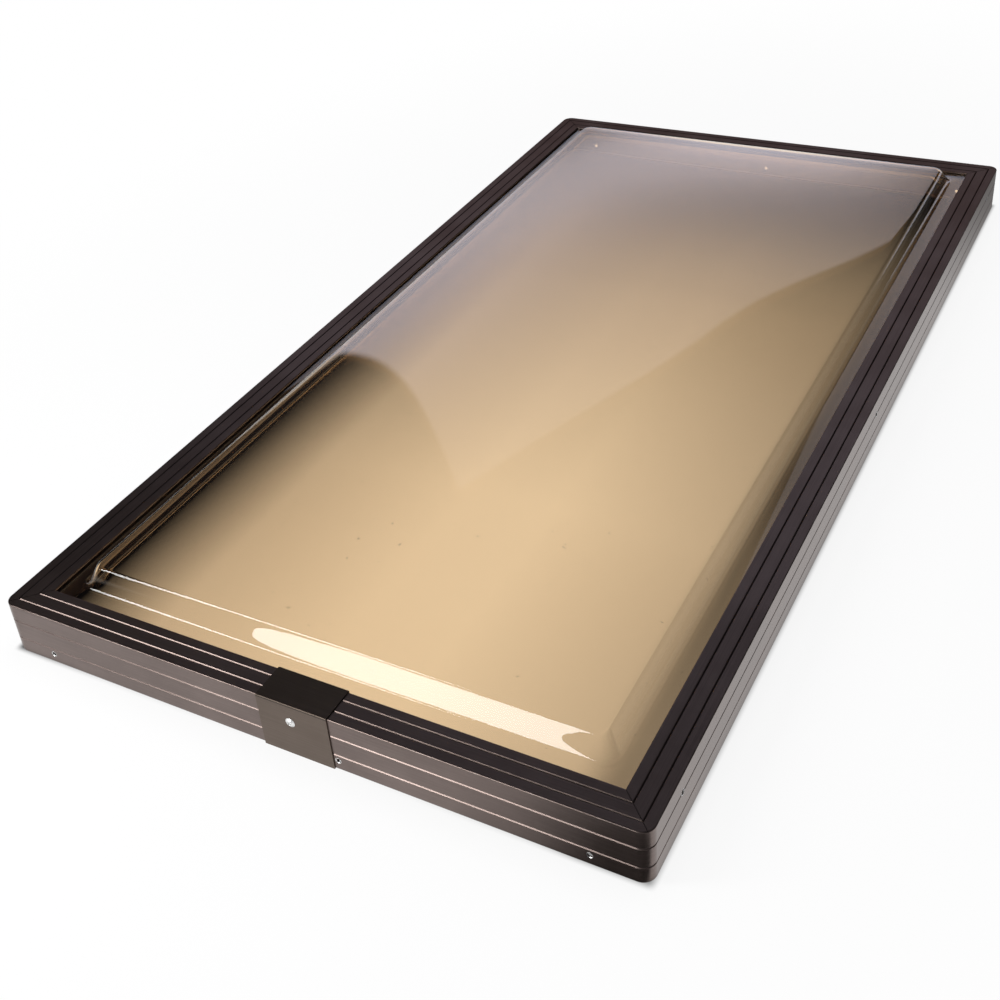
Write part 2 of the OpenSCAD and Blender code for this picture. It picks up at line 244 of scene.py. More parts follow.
class Graph:
    """Builder of the nodes in one shader or geometry tree."""

    def __init__(self, tree: bpy.types.NodeTree) -> None:
        """Starts on an emptied tree."""
        self.tree = tree
        tree.nodes.clear()

    def node(
        self,
        kind: str,
        settings: dict[str, object] | None = None,
        inputs: dict[str | int, object] | None = None,
    ) -> bpy.types.Node:
        """Makes any node.

        Args:
            kind: Blender's type name of the node.
            settings: Properties of the node, set before its sockets.
            inputs: Values or links of its sockets, by name or place.

        Returns:
            The new node.
        """
        node = self.tree.nodes.new(kind)
        for name, setting in (settings or {}).items():
            setattr(node, name, setting)
        for key, value in (inputs or {}).items():
            self.plug(node.inputs[key], value)
        return node

    def plug(self, socket: bpy.types.NodeSocket, value: object) -> None:
        """Links a value to a socket, or sets the socket to a constant.

        Args:
            socket: The input.
            value: A value, an output socket or a constant. A colour is given without its alpha.
        """
        if isinstance(value, Value):
            self.tree.links.new(value.socket, socket)
        elif isinstance(value, bpy.types.NodeSocket):
            self.tree.links.new(value, socket)
        elif socket.type == "RGBA":
            socket.default_value = (*value, 1.0)
        else:
            socket.default_value = value

    def take(
        self,
        kind: str,
        output: str | int,
        settings: dict[str, object] | None = None,
        inputs: dict[str | int, object] | None = None,
    ) -> Value:
        """Output of a new node, by its name or place, as a value."""
        return Value(self, self.node(kind, settings, inputs).outputs[output])

    def blend(self, share: Value, first: object, second: object) -> Value:
        """Mixes two colours by a share."""
        return self.take("ShaderNodeMix", 2, {"data_type": "RGBA"}, {0: share, 6: first, 7: second})

    def scaled(self, vector: Value, scale: Triple) -> Value:
        """Stretches a vector by three factors."""
        return self.take("ShaderNodeVectorMath", 0, {"operation": "MULTIPLY"}, {0: vector, 1: scale})

    def noise(self, vector: Value, noise: Noise) -> Value:
        """Even noise of about 0 to 1 on a vector."""
        scales = {"Scale": noise.scale, "Detail": noise.detail, "Roughness": noise.fineness}
        return self.take("ShaderNodeTexNoise", 0, None, {"Vector": vector, **scales})

    def facing(self, vector: Value, towards: Triple) -> Value:
        """How far a vector points towards a direction."""
        return self.take(
            "ShaderNodeVectorMath", "Value", {"operation": "DOT_PRODUCT"}, {0: vector, 1: towards}
        )

    def parts(self, vector: Value) -> tuple[Value, Value, Value]:
        """Splits a vector into its three values."""
        node = self.node("ShaderNodeSeparateXYZ", None, {0: vector})
        return tuple(Value(self, socket) for socket in node.outputs)

    def spot(self) -> Value:
        """Object coordinates."""
        return self.take("ShaderNodeTexCoord", "Object")

    def run(self) -> Value:
        """Place along the run of an extrusion and round its section."""
        return self.take("ShaderNodeUVMap", 0, {"uv_map": RUN_UV})

    def mark(self, name: str) -> Value:
        """A number that the mesh carries."""
        return self.take("ShaderNodeAttribute", "Fac", {"attribute_name": name})

    def bump(self, height: Value, strength: float, depth: float) -> Value:
        """Normal of a surface with fine relief."""
        relief = {"Height": height, "Strength": strength, "Distance": depth}
        return self.take("ShaderNodeBump", 0, None, relief)

    def ray(self, kind: str) -> Value:
        """Whether a ray is of one kind."""
        return self.take("ShaderNodeLightPath", f"Is {kind} Ray")

    def seen(self) -> Value:
        """Whether a ray shows the background: straight, mirrored or through a sheet."""
        return self.ray("Camera").most(self.ray("Glossy")).most(self.ray("Transmission"))

    def shader(self, kind: str, inputs: dict[str | int, object]) -> bpy.types.NodeSocket:
        """Output of a new shader node."""
        return self.node("ShaderNode" + kind, None, inputs).outputs[0]

    def end(self, kind: str, surface: bpy.types.NodeSocket) -> None:
        """Ends the tree of a material or a world in its shader."""
        self.node("ShaderNodeOutput" + kind, None, {"Surface": surface})


class Rule:
    """A Geometry Nodes tree with named inputs, which is run on one mesh."""

    def __init__(self, name: str, sizes: dict[str, float], finish: bpy.types.Material) -> None:
        """Starts a tree with its inputs.

        Args:
            name: Name of the tree.
            sizes: Its sizes, by the names of their inputs.
            finish: Material of what it makes.
        """
        self.tree = bpy.data.node_groups.new(name, "GeometryNodeTree")
        self.graph = Graph(self.tree)
        self.settings: dict[str, object] = {}
        for way in ("INPUT", "OUTPUT"):
            self.tree.interface.new_socket("Geometry", in_out=way, socket_type="NodeSocketGeometry")
        for label, size in sizes.items():
            self._add_input(label, "NodeSocketFloat", size)
        self._add_input("Finish", "NodeSocketMaterial", finish)
        given = self.graph.node("NodeGroupInput").outputs
        self.geometry, self.finish = given["Geometry"], given["Finish"]
        self.sizes = {label: Value(self.graph, given[label]) for label in sizes}

    def _add_input(self, label: str, kind: str, value: object) -> None:
        """Adds a named input, and notes its value by the socket's identifier."""
        socket = self.tree.interface.new_socket(label, in_out="INPUT", socket_type=kind)
        self.settings[socket.identifier] = value

    def run(self, mesh: bpy.types.Mesh, shape: Value) -> bpy.types.Mesh:
        """Ends the tree and runs it.

        Args:
            mesh: What it is run on, which is removed.
            shape: The geometry that it makes.

        Returns:
            The result as a plain mesh.
        """
        g = self.graph
        real = g.take("GeometryNodeRealizeInstances", 0, None, {"Geometry": shape})
        dressed = {"Geometry": real, "Material": self.finish}
        g.node("NodeGroupOutput", None, {0: g.take("GeometryNodeSetMaterial", 0, None, dressed)})
        holder = new_object(self.tree.name, mesh)
        modifier = holder.modifiers.new(self.tree.name, "NODES")
        modifier.node_group = self.tree
        for identifier, value in self.settings.items():
            modifier[identifier] = value
        result = baked(holder)
        drop(holder)
        return result


@dataclass(frozen=True)
class Finish:
    """What every finish has: a name and a shader, which becomes a material."""

    name: str

    def surface(self, g: Graph) -> bpy.types.NodeSocket:
        """Makes the shader in the material's tree."""
        raise NotImplementedError

    def material(self) -> bpy.types.Material:
        """Builds the finish.

        Returns:
            The finished material.
        """
        material = bpy.data.materials.new(self.name)
        material.use_nodes = True
        material.use_transparent_shadow = True
        g = Graph(material.node_tree)
        g.end("Material", self.surface(g))
        return material


@dataclass(frozen=True)
class BronzeFinish(Finish):
    """Dark bronze finish on an extrusion or a sheet, with the fine drawn lines of the metal and a painted
    shade that scales its colour near the top.
    """

    colour: Colour
    light_colour: Colour
    worn_colour: Colour
    metal: float = 0.84
    rough: float = 0.24
    line_rough: float = 0.1
    cloud_rough: float = 0.06
    edge_tint: float = 1.0
    # Painted shade: the next factor scales the colour above the band after it, near the top.
    painted_top_factor: float = 0.66
    top: Ramp = Ramp(TOP_Z - 0.0012, TOP_Z - 0.0004)
    has_run: bool = True
    run_stretch: Triple = (5.0, 900.0, 1.0)
    sheet_stretch: Triple = (8.0, 700.0, 700.0)
    lines: Noise = Noise(1.0, 3.0, 0.6)
    cloud: Noise = Noise(14.0, 3.0, 0.55)
    cloud_share: float = 0.55
    tone: Ramp = Ramp(0.38, 0.62)
    wear: Noise = Noise(60.0, 4.0, 0.65)
    wear_spots: Ramp = Ramp(0.52, 0.7)
    wear_share: float = 0.5
    grit: Noise = Noise(1500.0, 2.0, 0.5)
    grit_share: float = 0.6
    relief: float = 0.12
    relief_depth: float = 0.0002

    def surface(self, g: Graph) -> bpy.types.NodeSocket:
        """Makes the shader.

        Args:
            g: Builder of the material's tree.

        Returns:
            The shader's output.
        """
        spot = g.spot()
        drawn = g.scaled(g.run(), self.run_stretch) if self.has_run else g.scaled(spot, self.sheet_stretch)
        lines = g.noise(drawn, self.lines)
        cloud = g.noise(spot, self.cloud)
        tone = (self.cloud_share * cloud + (1.0 - self.cloud_share) * lines).ease(self.tone)
        # Painted shade near the top: a shaded copy of the two tones, blended in by height.
        shades = (self.colour, self.light_colour)
        painted_top_shades = (tuple(self.painted_top_factor * v for v in shade) for shade in shades)
        _, _, z = g.parts(spot)
        colour = g.blend(z.ease(self.top), g.blend(tone, *shades), g.blend(tone, *painted_top_shades))
        if self.has_run:
            worn = g.mark(EDGE_MARK) * g.noise(spot, self.wear).ease(self.wear_spots)
            colour = g.blend(self.wear_share * worn, colour, self.worn_colour)
        relief = self.grit_share * g.noise(spot, self.grit) + (1.0 - self.grit_share) * lines
        return g.shader(
            "BsdfPrincipled",
            {
                "Base Color": colour,
                "Metallic": self.metal,
                "Specular Tint": (self.edge_tint,) * 3,
                "Roughness": self.rough + self.line_rough * lines + self.cloud_rough * cloud,
                "Normal": g.bump(relief, self.relief, self.relief_depth),
            },
        )


@dataclass(frozen=True)
class BareMetalFinish(Finish):
    """Bright metal of the rivet and of the drilled edges."""

    colour: Colour = (0.82, 0.82, 0.81)
    dull_colour: Colour = (0.52, 0.52, 0.52)
    cloud: Noise = Noise(420.0, 3.0, 0.6)
    dull_spots: Ramp = Ramp(0.4, 0.7)
    scuff: Noise = Noise(1.0, 2.0, 0.5)
    scuff_stretch: Triple = (900.0, 200.0, 2600.0)
    rough: float = 0.26
    scuff_rough: float = 0.18
    relief: float = 0.15
    relief_depth: float = 0.0001

    def surface(self, g: Graph) -> bpy.types.NodeSocket:
        """Makes the shader.

        Args:
            g: Builder of the material's tree.

        Returns:
            The shader's output.
        """
        spot = g.spot()
        dull = g.noise(spot, self.cloud).ease(self.dull_spots)
        scuff = g.noise(g.scaled(spot, self.scuff_stretch), self.scuff)
        return g.shader(
            "BsdfPrincipled",
            {
                "Base Color": g.blend(dull, self.colour, self.dull_colour),
                "Metallic": 1.0,
                "Roughness": self.rough + self.scuff_rough * scuff,
                "Normal": g.bump(scuff, self.relief, self.relief_depth),
            },
        )


@dataclass(frozen=True)
class AcrylicFinish(Finish):
    """Clear or tinted blown sheet, which lets the lamps through."""

    tint: Colour
    thin_tint: Colour
    lamp_tint: Colour
    speck_colour: Colour
    ior: float = 1.49
    stretch: Noise = Noise(2.2, 1.0, 0.4)
    thin_spots: Ramp = Ramp(0.3, 0.7)
    speck: Noise = Noise(190.0, 1.0, 0.4)
    speck_spots: Ramp = Ramp(0.79, 0.83)
    speck_share: float = 0.5
    rough: float = 0.004
    speck_rough: float = 0.03
    wave: Noise = Noise(4.0, 1.0, 0.4)
    ripple: Noise = Noise(26.0, 1.0, 0.4)
    ripple_share: float = 0.12
    relief: float = 0.004
    relief_depth: float = 0.02

    def surface(self, g: Graph) -> bpy.types.NodeSocket:
        """Makes the shader.

        Args:
            g: Builder of the material's tree.

        Returns:
            The shader's output.
        """
        spot = g.spot()
        thin = g.noise(spot, self.stretch).ease(self.thin_spots)
        speck = g.noise(spot, self.speck).ease(self.speck_spots)
        waves = g.noise(spot, self.wave) + self.ripple_share * g.noise(spot, self.ripple)
        colour = g.blend(thin, self.tint, self.thin_tint)
        sheet = g.shader(
            "BsdfPrincipled",
            {
                "Base Color": g.blend(self.speck_share * speck, colour, self.speck_colour),
                "Roughness": self.rough + self.speck_rough * speck,
                "IOR": self.ior,
                "Transmission Weight": 1.0,
                "Normal": g.bump(waves, self.relief, self.relief_depth),
            },
        )
        clear = g.shader("BsdfTransparent", {"Color": self.lamp_tint})
        return g.shader("MixShader", {0: g.ray("Shadow"), 1: sheet, 2: clear})


@dataclass(frozen=True)
class FoamFinish(Finish):
    """Tape or foam with small cells."""

    colour: Colour
    cell_colour: Colour
    cells: float = 900.0
    cell_spots: Ramp = Ramp(0.1, 0.4)
    cloud: Noise = Noise(35.0, 3.0, 0.6)
    rough: float = 0.85
    cloud_rough: float = 0.15
    relief: float = 0.5
    relief_depth: float = 0.0003

    def surface(self, g: Graph) -> bpy.types.NodeSocket:
        """Makes the shader.

        Args:
            g: Builder of the material's tree.

        Returns:
            The shader's output.
        """
        spot = g.spot()
        cell = g.take("ShaderNodeTexVoronoi", "Distance", None, {"Vector": spot, "Scale": self.cells})
        cloud = g.noise(spot, self.cloud)
        spots = (cell * cloud).ease(self.cell_spots)
        return g.shader(
            "BsdfPrincipled",
            {
                "Base Color": g.blend(spots, self.colour, self.cell_colour),
                "Roughness": self.rough - self.cloud_rough * cloud,
                "Normal": g.bump(cell, self.relief, self.relief_depth),
            },
        )


@dataclass(frozen=True)
class PlasticFinish(Finish):
    """Dull extruded plastic of the thermal frame."""

    colour: Colour
    light_colour: Colour
    cloud: Noise = Noise(22.0, 4.0, 0.6)
    light_spots: Ramp = Ramp(0.35, 0.7)
    die: Noise = Noise(1.0, 2.0, 0.5)
    die_stretch: Triple = (30.0, 30.0, 1400.0)
    rough: float = 0.48
    die_rough: float = 0.14
    cloud_rough: float = 0.06
    grit: Noise = Noise(1100.0, 2.0, 0.5)
    grit_share: float = 0.5
    relief: float = 0.2
    relief_depth: float = 0.0002

    def surface(self, g: Graph) -> bpy.types.NodeSocket:
        """Makes the shader.

        Args:
            g: Builder of the material's tree.

        Returns:
            The shader's output.
        """
        spot = g.spot()
        cloud = g.noise(spot, self.cloud)
        die = g.noise(g.scaled(spot, self.die_stretch), self.die)
        relief = self.grit_share * g.noise(spot, self.grit) + (1.0 - self.grit_share) * die
        return g.shader(
            "BsdfPrincipled",
            {
                "Base Color": g.blend(cloud.ease(self.light_spots), self.colour, self.light_colour),
                "Roughness": self.rough + self.die_rough * die - self.cloud_rough * cloud,
                "Normal": g.bump(relief, self.relief, self.relief_depth),
            },
        )


@dataclass(frozen=True)
class FloorFinish(Finish):
    """Pale floor, with a painted shade under the skylight and painted dark reflections that only mirrors
    show.
    """

    colour: Colour = (0.87, 0.87, 0.87)
    # Painted shade under the skylight: its footprint, and its fall towards the left wall, the right wall
    # and the back.
    shade_x: Ramp = Ramp(0.325, 0.335, 1.0, 0.0)
    shade_y: Ramp = Ramp(0.63, 0.64, 1.0, 0.0)
    left_rise: Ramp = Ramp(-0.32, -0.22, 0.0, 0.74)
    left_rest: Ramp = Ramp(-0.22, -0.04, 0.0, 0.26)
    right_fall: Ramp = Ramp(0.06, 0.235, 1.0, 0.7)
    wall_x: Ramp = Ramp(0.225, 0.27)
    wall_y: Ramp = Ramp(-0.5, -0.1, 0.55, 0.9)
    back_fall: Ramp = Ramp(-0.24, 0.26, 1.0, 0.56)
    back_end: Ramp = Ramp(0.2, 0.62, 1.0, 0.0)
    # Painted dark reflections: dark floor patches that only glossy rays see, by the front right corner,
    # along the right side and beyond it.
    painted_front_dark_left: Ramp = Ramp(0.14, 0.3)
    painted_front_dark_right: Ramp = Ramp(0.36, 0.42, 1.0, 0.0)
    painted_front_dark_near: Ramp = Ramp(-0.8, -0.72)
    painted_front_dark_far: Ramp = Ramp(-0.636, -0.63, 1.0, 0.0)
    painted_side_dark_x: Ramp = Ramp(0.325, 0.335)
    painted_side_dark_y: Ramp = Ramp(0.28, 0.7, 0.0, 0.65)
    painted_right_dark: Ramp = Ramp(0.42, 0.56, 0.0, 0.92)
    length_share: float = 0.4
    glow: Ramp = Ramp(0.3, 1.1, 0.85, 1.0)

    def surface(self, g: Graph) -> bpy.types.NodeSocket:
        """Makes the shader.

        Args:
            g: Builder of the material's tree.

        Returns:
            The shader's output.
        """
        x, y, _ = g.parts(g.spot())
        # Painted shade under the skylight, darkest at the back and by the left and right walls.
        under = abs(x).ease(self.shade_x) * abs(y).ease(self.shade_y)
        left = x.slide(self.left_rise) + x.slide(self.left_rest)
        wall = x.ease(self.wall_x) * y.slide(self.wall_y)
        right = x.slide(self.right_fall) * (1.0 - wall)
        light = y.slide(self.back_fall) * y.ease(self.back_end) * left * right
        # Painted dark reflections, seen only in glossy rays.
        painted_front_dark = x.ease(self.painted_front_dark_left) * x.ease(self.painted_front_dark_right)
        painted_front_dark = painted_front_dark * y.ease(self.painted_front_dark_near) * y.ease(self.painted_front_dark_far)
        painted_side_dark = x.ease(self.painted_side_dark_x) * y.ease(self.painted_side_dark_y)
        painted_dark_reflection = painted_front_dark.most(painted_side_dark).most(x.ease(self.painted_right_dark))
        mirrored = g.ray("Glossy")
        shade = (1.0 - under * (1.0 - light)) * (1.0 - mirrored * painted_dark_reflection)
        away = (x * x + y * y * self.length_share) ** 0.5
        glowing = g.seen() * away.ease(self.glow).most(mirrored)
        matt = g.shader("BsdfDiffuse", {"Color": g.blend(shade, BLACK, self.colour)})
        glow = g.shader("Emission", {"Color": g.blend(shade, BLACK, WHITE), "Strength": 1.0})
        return g.shader("MixShader", {0: glowing, 1: matt, 2: glow})


BRONZE = BronzeFinish(
    "frame bronze",
    colour=(0.15, 0.114, 0.102),
    light_colour=(0.186, 0.143, 0.129),
    worn_colour=(0.36, 0.31, 0.28),
)
# The flange's top: its dark colour is a painted shade in the grooves, and the top factor lifts the top
# faces back to the bronze's own tone.
FLANGE_BRONZE = replace(
    BRONZE,
    name="flange bronze",
    colour=(0.05, 0.038, 0.034),
    light_colour=(0.062, 0.0477, 0.043),
    metal=0.98,
    painted_top_factor=3.0,
    top=Ramp(TOP_Z - 0.0006, TOP_Z - 0.0001),
    edge_tint=0.2,
)
# The cover's top is darker than its front by a painted shade.
COVER_BRONZE = BronzeFinish(
    "cover bronze",
    colour=(0.115, 0.085, 0.066),
    light_colour=(0.14, 0.106, 0.084),
    worn_colour=(0.3, 0.26, 0.23),
    painted_top_factor=0.45,
    has_run=False,
)
BARE_METAL = BareMetalFinish("bare metal")
TINTED_SHEET = AcrylicFinish(
    "tinted acrylic",
    tint=(0.86, 0.605, 0.355),
    thin_tint=(0.885, 0.64, 0.385),
    lamp_tint=(0.97, 0.95, 0.92),
    speck_colour=(0.2, 0.16, 0.12),
)
CLEAR_SHEET = AcrylicFinish(
    "clear acrylic",
    tint=(0.97, 0.975, 0.97),
    thin_tint=(0.985, 0.985, 0.985),
    lamp_tint=(0.99, 0.99, 0.99),
    speck_colour=(0.4, 0.4, 0.4),
    ior=1.25,
)
DARK_PLASTIC = PlasticFinish(
    "thermal plastic", colour=(0.016, 0.013, 0.012), light_colour=(0.03, 0.026, 0.024)
)
BLACK_TAPE = FoamFinish("black tape", colour=(0.012, 0.012, 0.012), cell_colour=(0.03, 0.03, 0.03))
SPACER_TAPE = FoamFinish("spacer tape", colour=(0.5, 0.5, 0.47), cell_colour=(0.62, 0.62, 0.6))
GASKET_FOAM = FoamFinish(
    "gasket foam", colour=(0.03, 0.034, 0.036), cell_colour=(0.06, 0.066, 0.07), cells=520.0
)
PALE_FLOOR = FloorFinish("pale floor")


@dataclass
class SectionPoint:
    """A point of an extrusion's section: inset, height, its inset where notched, and its wear."""

    inset: float
    height: float
    notched: float
    edge: float = 0.0


@dataclass(frozen=True)
class Corner:
    """A corner of a section before it is rounded, in millimetres."""

    inset: float
    height: float
    radius: float = 0.0
    notched: bool = False
    worn: bool = False

    @property
    def place(self) -> Vector:
        """Where the corner is in the section."""
        return Vector((self.inset, self.height))


def rounded_section(corners: list[Corner], notch: float, steps: int = 4) -> list[SectionPoint]:
    """Rounds the corners of a section.

    Args:
        corners: The section's corners in order, in millimetres.
        notch: Inset that notched points fall back to, in millimetres.
        steps: Facets of each rounded corner.

    Returns:
        The section's points in metres.
    """
    points: list[SectionPoint] = []
    for i, corner in enumerate(corners):
        here = corner.place
        flat = [here]
        support: list[Vector] = []
        if corner.radius > 0.0:
            before = (corners[i - 1].place - here).normalized()
            after = (corners[(i + 1) % len(corners)].place - here).normalized()
            half = before.angle(after) / 2.0
            reach = corner.radius / math.tan(half)
            centre = here + (before + after).normalized() * (corner.radius / math.sin(half))
            start = here + before * reach - centre
            turn = start.angle_signed(here + after * reach - centre)
            flat = [centre + Matrix.Rotation(-turn * k / steps, 2) @ start for k in range(steps + 1)]
            if corner.worn:
                support = [here + way * (reach + WEAR_REACH) for way in (before, after)]
        for k, place in enumerate(support[:1] + flat + support[1:]):
            is_edge = corner.worn and 0 < k <= len(flat)
            inset = min(place.x, notch) if corner.notched else place.x
            points.append(SectionPoint(place.x * MM, place.y * MM, inset * MM, float(is_edge)))
    return points


def new_object(name: str, data: bpy.types.ID) -> bpy.types.Object:
    """Puts a mesh, a lamp or a camera into the scene.

    Args:
        name: Name of the object.
        data: What it shows.

    Returns:
        The object, at the origin.
    """
    obj = bpy.data.objects.new(name, data)
    bpy.context.scene.collection.objects.link(obj)
    return obj


def mesh_from(name: str, bm: bmesh.types.BMesh, outwards: bool = True) -> bpy.types.Mesh:
    """Turns a bmesh into a mesh with merged doubles.

    Args:
        name: Name of the mesh.
        bm: The shape, which is freed.
        outwards: Whether the normals of a closed shape are recalculated.

    Returns:
        The mesh.
    """
    bmesh.ops.remove_doubles(bm, verts=bm.verts, dist=MERGE_DISTANCE)
    bmesh.ops.dissolve_degenerate(bm, edges=bm.edges, dist=SLIVER_SIZE)
    if outwards:
        bmesh.ops.recalc_face_normals(bm, faces=bm.faces)
    mesh = bpy.data.meshes.new(name)
    bm.to_mesh(mesh)
    bm.free()
    return mesh


def baked(obj: bpy.types.Object) -> bpy.types.Mesh:
    """The plain mesh of an object after its modifiers."""
    graph = bpy.context.evaluated_depsgraph_get()
    return bpy.data.meshes.new_from_object(obj.evaluated_get(graph), depsgraph=graph)


def drop(*objects: bpy.types.Object) -> None:
    """Removes helper objects and their meshes.

    Args:
        objects: The helpers.
    """
    for obj in objects:
        mesh = obj.data
        bpy.data.objects.remove(obj)
        bpy.data.meshes.remove(mesh)


def carved(name: str, mesh: bpy.types.Mesh, cutter: bpy.types.Mesh) -> bpy.types.Mesh:
    """Cuts one mesh out of another. The cut faces keep the cutter's materials.

    Args:
        name: Name of the result.
        mesh: The mesh to cut, which is removed.
        cutter: What is cut away, which is removed.

    Returns:
        The cut mesh.
    """
    body = new_object(name + "_body", mesh)
    tool = new_object(name + "_tool", cutter)
    cut = body.modifiers.new("cut", "BOOLEAN")
    cut.operation = "DIFFERENCE"
    cut.solver = "EXACT"
    cut.material_mode = "TRANSFER"
    cut.object = tool
    result = baked(body)
    result.name = name
    drop(body, tool)
    return result


def smoothed(mesh: bpy.types.Mesh) -> None:
    """Shades a mesh smooth up to its sharp edges."""
    mesh.shade_smooth()
    mesh.set_sharp_from_angle(angle=SMOOTH_LIMIT)


def shade_evenly(piece: bpy.types.Object) -> None:
    """Weighs the normals of a piece by its faces, so that flat faces look flat."""
    even = piece.modifiers.new("even shading", "WEIGHTED_NORMAL")
    even.keep_sharp = True


def bridge(bm: bmesh.types.BMesh, first: Ring, second: Ring) -> list[bmesh.types.BMFace]:
    """Closes the band between two rings.

    Args:
        bm: Shape that holds the rings.
        first: One ring.
        second: The other, with as many points.

    Returns:
        The band's faces in order.
    """
    faces = []
    for k in range(len(first)):
        n = (k + 1) % len(first)
        faces.append(bm.faces.new((first[k], first[n], second[n], second[k])))
    return faces


def add_lathe(
    bm: bmesh.types.BMesh, centre: Vector, axis: Vector, profile: list[Point2], slots: list[int]
) -> None:
    """Adds a closed turned shape to a bmesh.

    Args:
        bm: Shape that takes it.
        centre: Its origin.
        axis: Direction of its axis.
        profile: Radius and place along the axis of each ring.
        slots: Material slot of each band between two rings.
    """
    turn = axis.to_track_quat("Z", "Y").to_matrix()
    angles = [2.0 * math.pi * k / LATHE_STEPS for k in range(LATHE_STEPS)]
    rings: list[Ring] = []
    for radius, along in profile:
        places = [Vector((radius * math.cos(a), radius * math.sin(a), along)) for a in angles]
        rings.append([bm.verts.new(centre + turn @ place) for place in places])
    bm.faces.new(list(reversed(rings[0])))
    bm.faces.new(rings[-1])
    for low, high, slot in zip(rings, rings[1:], slots):
        for face in bridge(bm, low, high):
            face.material_index = slot


def add_box(bm: bmesh.types.BMesh, centre: Vector, size: Vector, turn: float = 0.0) -> None:
    """Adds a box to a bmesh.

    Args:
        bm: Shape that takes the box.
        centre: Middle of the box.
        size: Its three sizes.
        turn: Angle about the vertical.
    """
    place = Matrix.Translation(centre) @ Matrix.Rotation(turn, 4, "Z") @ Matrix.Diagonal((*size, 1.0))
    bmesh.ops.create_cube(bm, size=1.0, matrix=place)


@dataclass
class Seat:
    """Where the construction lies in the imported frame, and the dressing of its pieces."""

    origin: Vector

    @classmethod
    def from_frame(cls) -> "Seat":
        """Finds the middle of the retaining frame's bottom."""
        low, high = (Vector(corner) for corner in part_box("retaining_frame"))
        return cls(Vector(((low.x + high.x) / 2.0, (low.y + high.y) / 2.0, low.z)))

    def settle(
        self, name: str, mesh: bpy.types.Mesh, materials: list[bpy.types.Material], slot: str, *nodes: str
    ) -> bpy.types.Object:
        """Puts a finished mesh in its place as a piece of the part.

        Args:
            name: Name of the piece.
            mesh: Its mesh, about the middle of the frame's bottom.
            materials: Its materials, in the order of the mesh's slots.
            slot: The record's material slot. It is not used.
            nodes: The construction's nodes that it stands for.

        Returns:
            The piece.
        """
        mesh.transform(Matrix.Translation(self.origin))
        slots = [polygon.material_index for polygon in mesh.polygons]
        mesh.materials.clear()
        for material in materials:
            mesh.materials.append(material)
        mesh.polygons.foreach_set("material_index", slots)
        piece = new_object(name, mesh)
        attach(piece, BODY)
        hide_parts(*nodes)
        LOG.info("%s: %d faces", name, len(mesh.polygons))
        return piece


